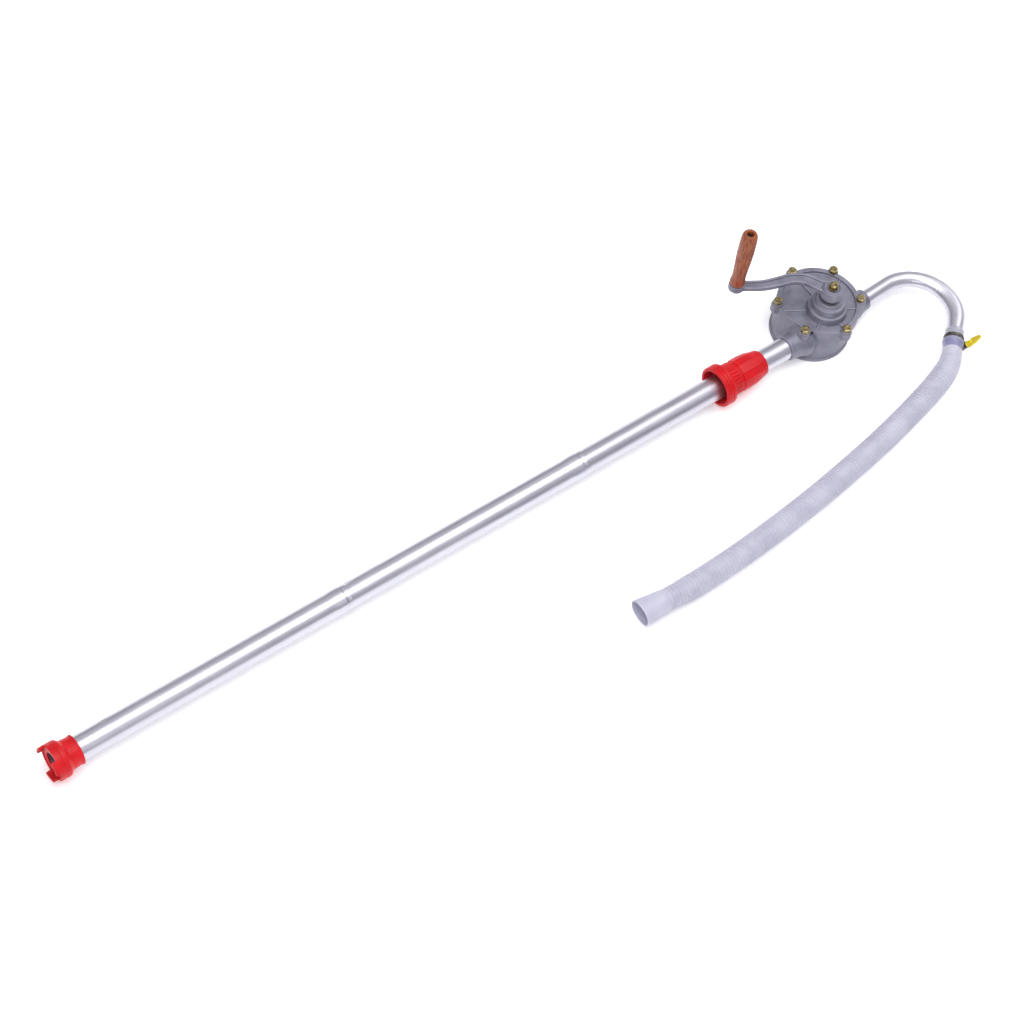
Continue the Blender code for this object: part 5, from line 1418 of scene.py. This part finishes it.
@dataclass
class DischargeSide:
    """Gooseneck spout, hose with its cuff, and the worm clamp with its key."""

    shop: Workshop
    y: float = -0.0013
    z: float = 0.028
    radius: float = 0.0105
    wall: float = 0.0012
    socket_start: float = 0.055
    rise_start: float = 0.079
    rise: float = math.radians(2.7)
    bend_start: float = 0.1148
    bend_radius: float = 0.0556
    bend: float = math.radians(140.7)
    tail_length: float = 0.0505
    clamp_from_bend: float = 0.0340
    cuff_length: float = 0.033
    hose_radius: float = 0.016
    pitch: float = 0.0050
    corrugation: float = 0.00105
    hose_route: tuple[tuple[float, float, float], ...] = (
        (0.0980, -0.1455, 0.0262), (0.0760, -0.1545, 0.0222), (0.0520, -0.1610, 0.0184), (0.0250, -0.1675, 0.0166),
        (-0.0050, -0.1745, 0.0162), (-0.0400, -0.1822, 0.0162), (-0.0760, -0.1890, 0.0162),
        (-0.1120, -0.1950, 0.0162), (-0.1480, -0.2008, 0.0162), (-0.1840, -0.2058, 0.0162),
        (-0.2200, -0.2102, 0.0162), (-0.2560, -0.2140, 0.0162), (-0.2920, -0.2172, 0.0162),
        (-0.3280, -0.2197, 0.0162), (-0.3640, -0.2214, 0.0162), (-0.4000, -0.2220, 0.0162),
        (-0.4380, -0.2203, 0.0162), (-0.4800, -0.2172, 0.0162),
    )

    def __post_init__(self) -> None:
        """Works out the bend and the tail from the driving sizes."""
        entry = Vector((self.bend_start, self.y + (self.bend_start - self.rise_start) * math.tan(self.rise), self.z))
        self.centre = entry + self.bend_radius * Vector((math.sin(self.rise), -math.cos(self.rise), 0))
        heading = self.rise - self.bend
        self.tail = Vector((math.cos(heading), math.sin(heading), 0))
        self.bend_end = self.on_bend(heading)
        self.end = self.bend_end + self.tail_length * self.tail
        self.clamp_centre = self.bend_end + self.clamp_from_bend * self.tail

    def on_bend(self, heading: float) -> Vector:
        """The point of the bend where the spout has a heading."""
        return self.centre + self.bend_radius * Vector((-math.sin(heading), math.cos(heading), 0))

    def spout(self) -> None:
        """Bent tube, slightly flattened and wrinkled on the inner side of its bend."""
        start = Vector((self.socket_start, self.y, self.z))
        steps = 110
        bend = [self.on_bend(self.rise - self.bend * k / steps) for k in range(steps + 1)]
        first = [start + (Vector((self.rise_start, self.y, self.z)) - start) * k / 6 for k in range(7)]
        second = [first[-1] + (bend[0] - first[-1]) * k / 8 for k in range(1, 8)]
        last = [bend[-1] + (self.end - bend[-1]) * k / 10 for k in range(1, 11)]
        path = np.array([*first, *second, *bend, *last])
        bend_from = (bend[0] - start).length
        bend_to = bend_from + self.bend_radius * self.bend

        def outer(walked: float, angles: np.ndarray) -> np.ndarray:
            """Radii of the outer skin."""
            share = soft_step(walked, bend_from - 0.004, bend_from + 0.02)
            share *= 1 - soft_step(walked, bend_to - 0.02, bend_to + 0.004)
            inward = np.clip(np.sin(angles), 0, 1) ** 2
            squeeze = 0.0006 * share * np.cos(angles) ** 2
            wrinkle = 0.0001 * share * inward * math.cos(walked / 0.0062 * 2 * math.pi)
            broad = 0.0011 * soft_step(walked, bend_from + 0.03, bend_to - 0.02)
            broad *= (1 - soft_step(walked, bend_to + 0.006, bend_to + 0.015)) * np.sin(angles) ** 2
            return self.radius + 0.0003 * share + broad - squeeze + wrinkle

        def inner(walked: float, angles: np.ndarray) -> np.ndarray:
            """Radii of the bore."""
            return outer(walked, angles) - self.wall

        rings = np.concatenate([sweep_rings(path, outer, 56), sweep_rings(path, inner, 56)[::-1]])
        piece = loft("bent_spout", rings, sharp=60)
        self.shop.fit(piece, Slot.TUBE, Body.HOUSING, "gooseneck_spout")

    def cuff(self) -> None:
        """Soft vinyl cuff under the clamp, with a rolled end."""
        axle = Axle(self.end - self.cuff_length * self.tail, self.tail, Z)
        bore = self.radius + 0.0003
        profile = rounded([
            (0, bore), (0, bore + 0.0010), (0.0012, bore + 0.0017), (0.0050, bore + 0.0018), (0.0068, bore + 0.0016),
            (0.0172, bore + 0.0016), (0.0186, bore + 0.0034), (0.0210, bore + 0.0038), (0.0240, bore + 0.0024),
            (0.0280, bore + 0.0018), (self.cuff_length, bore + 0.0022), (self.cuff_length, bore),
        ], 0.0008)
        vinyl = ClearVinyl(thick_end=tuple(self.end))
        self.shop.fit(lathe("vinyl_cuff", axle, profile, 72), Slot.HOSE, Body.HOUSING, "hose_cuff", finish=vinyl)

    def hose(self) -> None:
        """Corrugated hose: plain tapered start, ringed run and a plain, flattened mouth."""
        start = self.end + 0.0003 * self.tail
        points = [start, self.end + 0.008 * self.tail, *self.hose_route]
        path = smooth_route(points, self.pitch / 8)
        length = float(np.linalg.norm(np.diff(path, axis=0), axis=1).sum())

        def outer(walked: float, angles: np.ndarray) -> np.ndarray:
            """Radii of the outer skin."""
            left = length - walked
            grown = self.radius + 0.0024 + (self.hose_radius - self.radius - 0.0024) * soft_step(walked, -0.004, 0.046)
            ringed = (0.4 + 0.6 * soft_step(walked, 0.02, 0.06)) * soft_step(walked, 0.006, 0.014)
            ringed *= soft_step(left, 0.034, 0.044)
            wave = math.cos(2 * math.pi * walked / self.pitch)
            ripple = self.corrugation * ringed * (math.copysign(abs(wave) ** 0.6, wave) - 0.6)
            waist = -0.0012 * soft_step(left, 0.030, 0.040) * (1 - soft_step(left, 0.050, 0.075))
            flare = 1 - soft_step(left, 0.002, 0.034)
            oval = flare * (0.0022 * np.sin(angles) ** 2 - 0.0026 * np.cos(angles) ** 2)
            return grown + ripple + waist + oval

        def inner(walked: float, angles: np.ndarray) -> np.ndarray:
            """Radii of the bore."""
            return outer(walked, angles) - 0.0011

        rings = np.concatenate([sweep_rings(path, outer, 48), sweep_rings(path, inner, 48)[::-1]])
        hose = loft("corrugated_hose", rings, sharp=70)
        self.shop.fit(hose, Slot.HOSE, Body.HOUSING, "discharge_hose")
        LOG.info("hose length %.3f m", length)

    def clamp(self) -> None:
        """Slotted worm-drive band, its screw housing, the screw and the butterfly key."""
        inner = self.radius + 0.0003 + 0.0017 + 0.0003
        band_axle = Axle(self.clamp_centre - 0.0045 * self.tail, self.tail, Z)
        section = [
            (0, inner), (0, inner + 0.0010), (0.0006, inner + 0.0011), (0.0012, inner + 0.0008),
            (0.0020, inner + 0.0008), (0.0026, inner + 0.0008), (0.0064, inner + 0.0008), (0.0070, inner + 0.0008),
            (0.0078, inner + 0.0008), (0.0084, inner + 0.0011), (0.0090, inner + 0.0010), (0.0090, inner),
        ]

        def slotted(along: float, radius: float, angle: float) -> tuple[float, float]:
            """Presses slanted worm slots into the middle of the band."""
            if 0.0021 < along < 0.0069 and radius > inner + 0.0004:
                radius -= 0.00045 * (math.cos(48 * angle + along * 250) > 0.2)
            return along, radius

        band = lathe("worm_clamp_band", band_axle, section, 288, slotted)
        self.shop.fit(band, Slot.STEEL, Body.HOUSING, "clamp_band")
        outward = Vector((-self.tail.y, self.tail.x, 0))
        tilt = math.radians(-28)
        radial = math.cos(tilt) * outward + math.sin(tilt) * Z
        tangent = -math.sin(tilt) * outward + math.cos(tilt) * Z
        thick, length, width = 0.0075, 0.0115, 0.0105
        middle = self.clamp_centre + (inner + 0.0008 + 0.0003 + thick / 2) * radial
        frame = Matrix.Translation(middle) @ Matrix((radial, tangent, self.tail)).transposed().to_4x4()
        tunnel = Axle(middle, tangent, self.tail)
        half = length / 2
        barrel = rounded([(-half, 0), (-half, 0.0037), (half, 0.0037), (half, 0)], 0.0006)
        saddle = frame @ Matrix.Translation((-thick / 2 + 0.0012, 0, 0))
        housing = fuse("clamp_screw_housing", [
            lathe("housing_barrel", tunnel, barrel, 48),
            box("housing_saddle", (0.0024, length, width), saddle),
            box("housing_cheeks", (0.0036, length * 0.8, width * 0.72), saddle @ Matrix.Translation((0.0012, 0, 0))),
        ], 0.0003, 2)
        carve(housing, [lathe("screw_tunnel", tunnel, [(-0.02, 0), (-0.02, 0.0031), (0.02, 0.0031), (0.02, 0)], 40)])
        self.shop.fit(housing, Slot.STEEL, Body.HOUSING, "clamp_housing")
        screw_start = middle - (half + 0.0015) * tangent
        screw_axle = Axle(screw_start, tangent, self.tail)
        worm = [(0.0, 0.0), (0.0, 0.0021), (0.0006, 0.0027)]
        for k in range(10):
            at = 0.0010 + 0.00125 * k
            worm += [(at, 0.0023), (at + 0.0006, 0.0028)]
        worm += [(0.0140, 0.0024), (0.0190, 0.0024), (0.0190, 0)]
        self.shop.fit(lathe("worm_screw", screw_axle, worm, 40), Slot.STEEL, Body.KEY, "clamp_screw")
        root = screw_start + 0.0155 * tangent
        stem = rounded([(0, 0), (0, 0.0050), (0.0016, 0.0050), (0.0028, 0.0042), (0.009, 0.0036), (0.009, 0)], 0.0006)
        key_frame = Matrix.Translation(root) @ Matrix((self.tail, tangent, -radial)).transposed().to_4x4()
        wing = prism("key_wing", [
            ((0.0062 + 0.0014 * math.cos(a)) * math.sin(a) * (0.92 + 0.10 * math.cos(2 * a)),
             0.0040 + 0.0110 * (1 - math.cos(a)))
            for a in (2 * math.pi * k / 48 for k in range(48))
        ], -0.0013, 0.0013)
        wing.data.transform(key_frame)
        pads = []
        for side in (-1, 1):
            place = key_frame @ Matrix.Translation((side * 0.0040, 0.0130, 0)) @ Matrix.Rotation(side * 0.14, 4, "Z")
            pads.append(box("key_pad", (0.0030, 0.0140, 0.0032), place))
        key = fuse("butterfly_key", [lathe("key_stem", Axle(root, tangent, self.tail), stem, 40), wing, *pads], 0.00032, 5)
        carve(key, [lathe("key_bore", Axle(root - 0.01 * tangent, tangent, self.tail),
                          [(0, 0), (0, 0.0027), (0.0138, 0.0027), (0.0138, 0)], 32)])
        self.shop.fit(key, Slot.YELLOW, Body.KEY, "clamp_key")


@dataclass
class Works:
    """The working parts inside the casing and the adapter, which keep their CAD shapes."""

    shop: Workshop

    def build(self) -> None:
        """Dresses each inner node in its finish."""
        inner = {
            Slot.BRONZE: ["rear_bush", "cover_bush"],
            Slot.RUBBER: ["shaft_seal", "tube_gland"],
            Slot.STEEL: ["drive_shaft", *[f"vane_spring_{i}" for i in range(1, 5)]],
            Slot.ROTOR: ["rotor"],
            Slot.VANE: [*[f"vane_{i}" for i in range(1, 5)], "thrust_ring"],
        }
        for slot, names in inner.items():
            for name in names:
                self.shop.dress_node(name, slot)


@dataclass
class Studio:
    """Floor, soft lights and the camera."""

    floor_size: float = 30.0
    camera_place: tuple[float, float, float] = (-1.9384, -1.3713, 2.8982)
    right: tuple[float, float, float] = (0.7947, -0.5971, 0.1088)
    up: tuple[float, float, float] = (0.4512, 0.7011, 0.5521)
    lens: float = 98.44

    def build(self) -> None:
        """Sets up the floor and the lights."""
        self.floor()
        self.world()
        self.lamp("overhead_box", (-0.5, -0.2, 1.9), (-0.5, -0.05, 0), (3.4, 1.2), 36)
        self.lamp("camera_fill", (-1.4, -2.2, 1.4), (-0.2, -0.1, 0), (1.6, 1.2), 8)
        self.lamp("spout_side_fill", (1.7, 0.2, 1.2), (0, -0.1, 0), (1.0, 1.2), 5)

    def camera(self) -> None:
        """The view from above the foot end."""
        data = bpy.data.cameras.new("camera")
        data.lens = self.lens
        data.sensor_width = 36
        data.clip_start = 0.05
        data.clip_end = 100
        camera = bpy.data.objects.new("camera", data)
        bpy.context.scene.collection.objects.link(camera)
        right = Vector(self.right).normalized()
        back = right.cross(Vector(self.up)).normalized()
        turn = Matrix((right, back.cross(right), back)).transposed().to_4x4()
        camera.matrix_world = Matrix.Translation(self.camera_place) @ turn
        bpy.context.scene.camera = camera
        bpy.context.scene.view_settings.view_transform = "Standard"

    def floor(self) -> None:
        """Seamless pale paper just under the pump."""
        half = self.floor_size / 2
        corners = np.array([(-half, -half, 0), (half, -half, 0), (half, half, 0), (-half, half, 0)], float)
        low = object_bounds()[0].z
        floor = mesh_object("floor", corners + np.array([0, 0, min(low, 0) - 0.0002]), [(0, 1, 2, 3)])
        floor.data.materials.append(StudioPaper().material())
        floor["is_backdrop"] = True

    def world(self) -> None:
        """A bright tent that darkens towards the horizon, so that bare metal has something to reflect."""
        world = bpy.data.worlds.new("tent")
        world.use_nodes = True
        bpy.context.scene.world = world
        tree = world.node_tree
        place = add_node(tree, "TexCoord").outputs["Generated"]
        height = add_node(tree, "SeparateXYZ", {0: place}).outputs["Z"]
        stops = [(0.0, "#9c9ca4"), (0.25, "#c4c4cc"), (0.5, "#dcdce2"), (0.8, "#f4f4f8")]
        tree.links.new(ramp(tree, height, stops), tree.nodes["Background"].inputs["Color"])
        tree.nodes["Background"].inputs["Strength"].default_value = 0.75

    def lamp(
        self, name: str, place: Sequence[float], target: Sequence[float], size: tuple[float, float], power: float
    ) -> None:
        """Adds one rectangular soft light.

        Args:
            name: the light's name.
            place: where it hangs.
            target: what it points at.
            size: its width and height.
            power: in watts.
        """
        data = bpy.data.lights.new(name, "AREA")
        data.shape = "RECTANGLE"
        data.size, data.size_y = size
        data.energy = power
        lamp = bpy.data.objects.new(name, data)
        bpy.context.scene.collection.objects.link(lamp)
        lamp.location = place
        lamp.rotation_euler = (Vector(target) - Vector(place)).to_track_quat("-Z", "Y").to_euler()


def main() -> None:
    """Builds every sub-assembly round the frame."""
    logging.basicConfig(level=logging.INFO, format="%(name)s: %(message)s")
    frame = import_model()
    studio = Studio()
    studio.camera()
    shop = Workshop(frame)
    discharge = DischargeSide(shop)
    discharge.hose()
    discharge.cuff()
    discharge.clamp()
    discharge.spout()
    body = PumpBody(shop)
    body.casing()
    body.gasket()
    body.cover()
    body.bolts()
    crank = Crank(shop)
    crank.arm()
    crank.fixing()
    crank.grip()
    SuctionTube(shop).build()
    adapter = BungAdapter(shop)
    adapter.nut()
    adapter.collar()
    Works(shop).build()
    if shop.left:
        LOG.warning("CAD nodes without a finish: %s", ", ".join(sorted(shop.left)))
    studio.build()


if __name__ == "__main__":
    main()
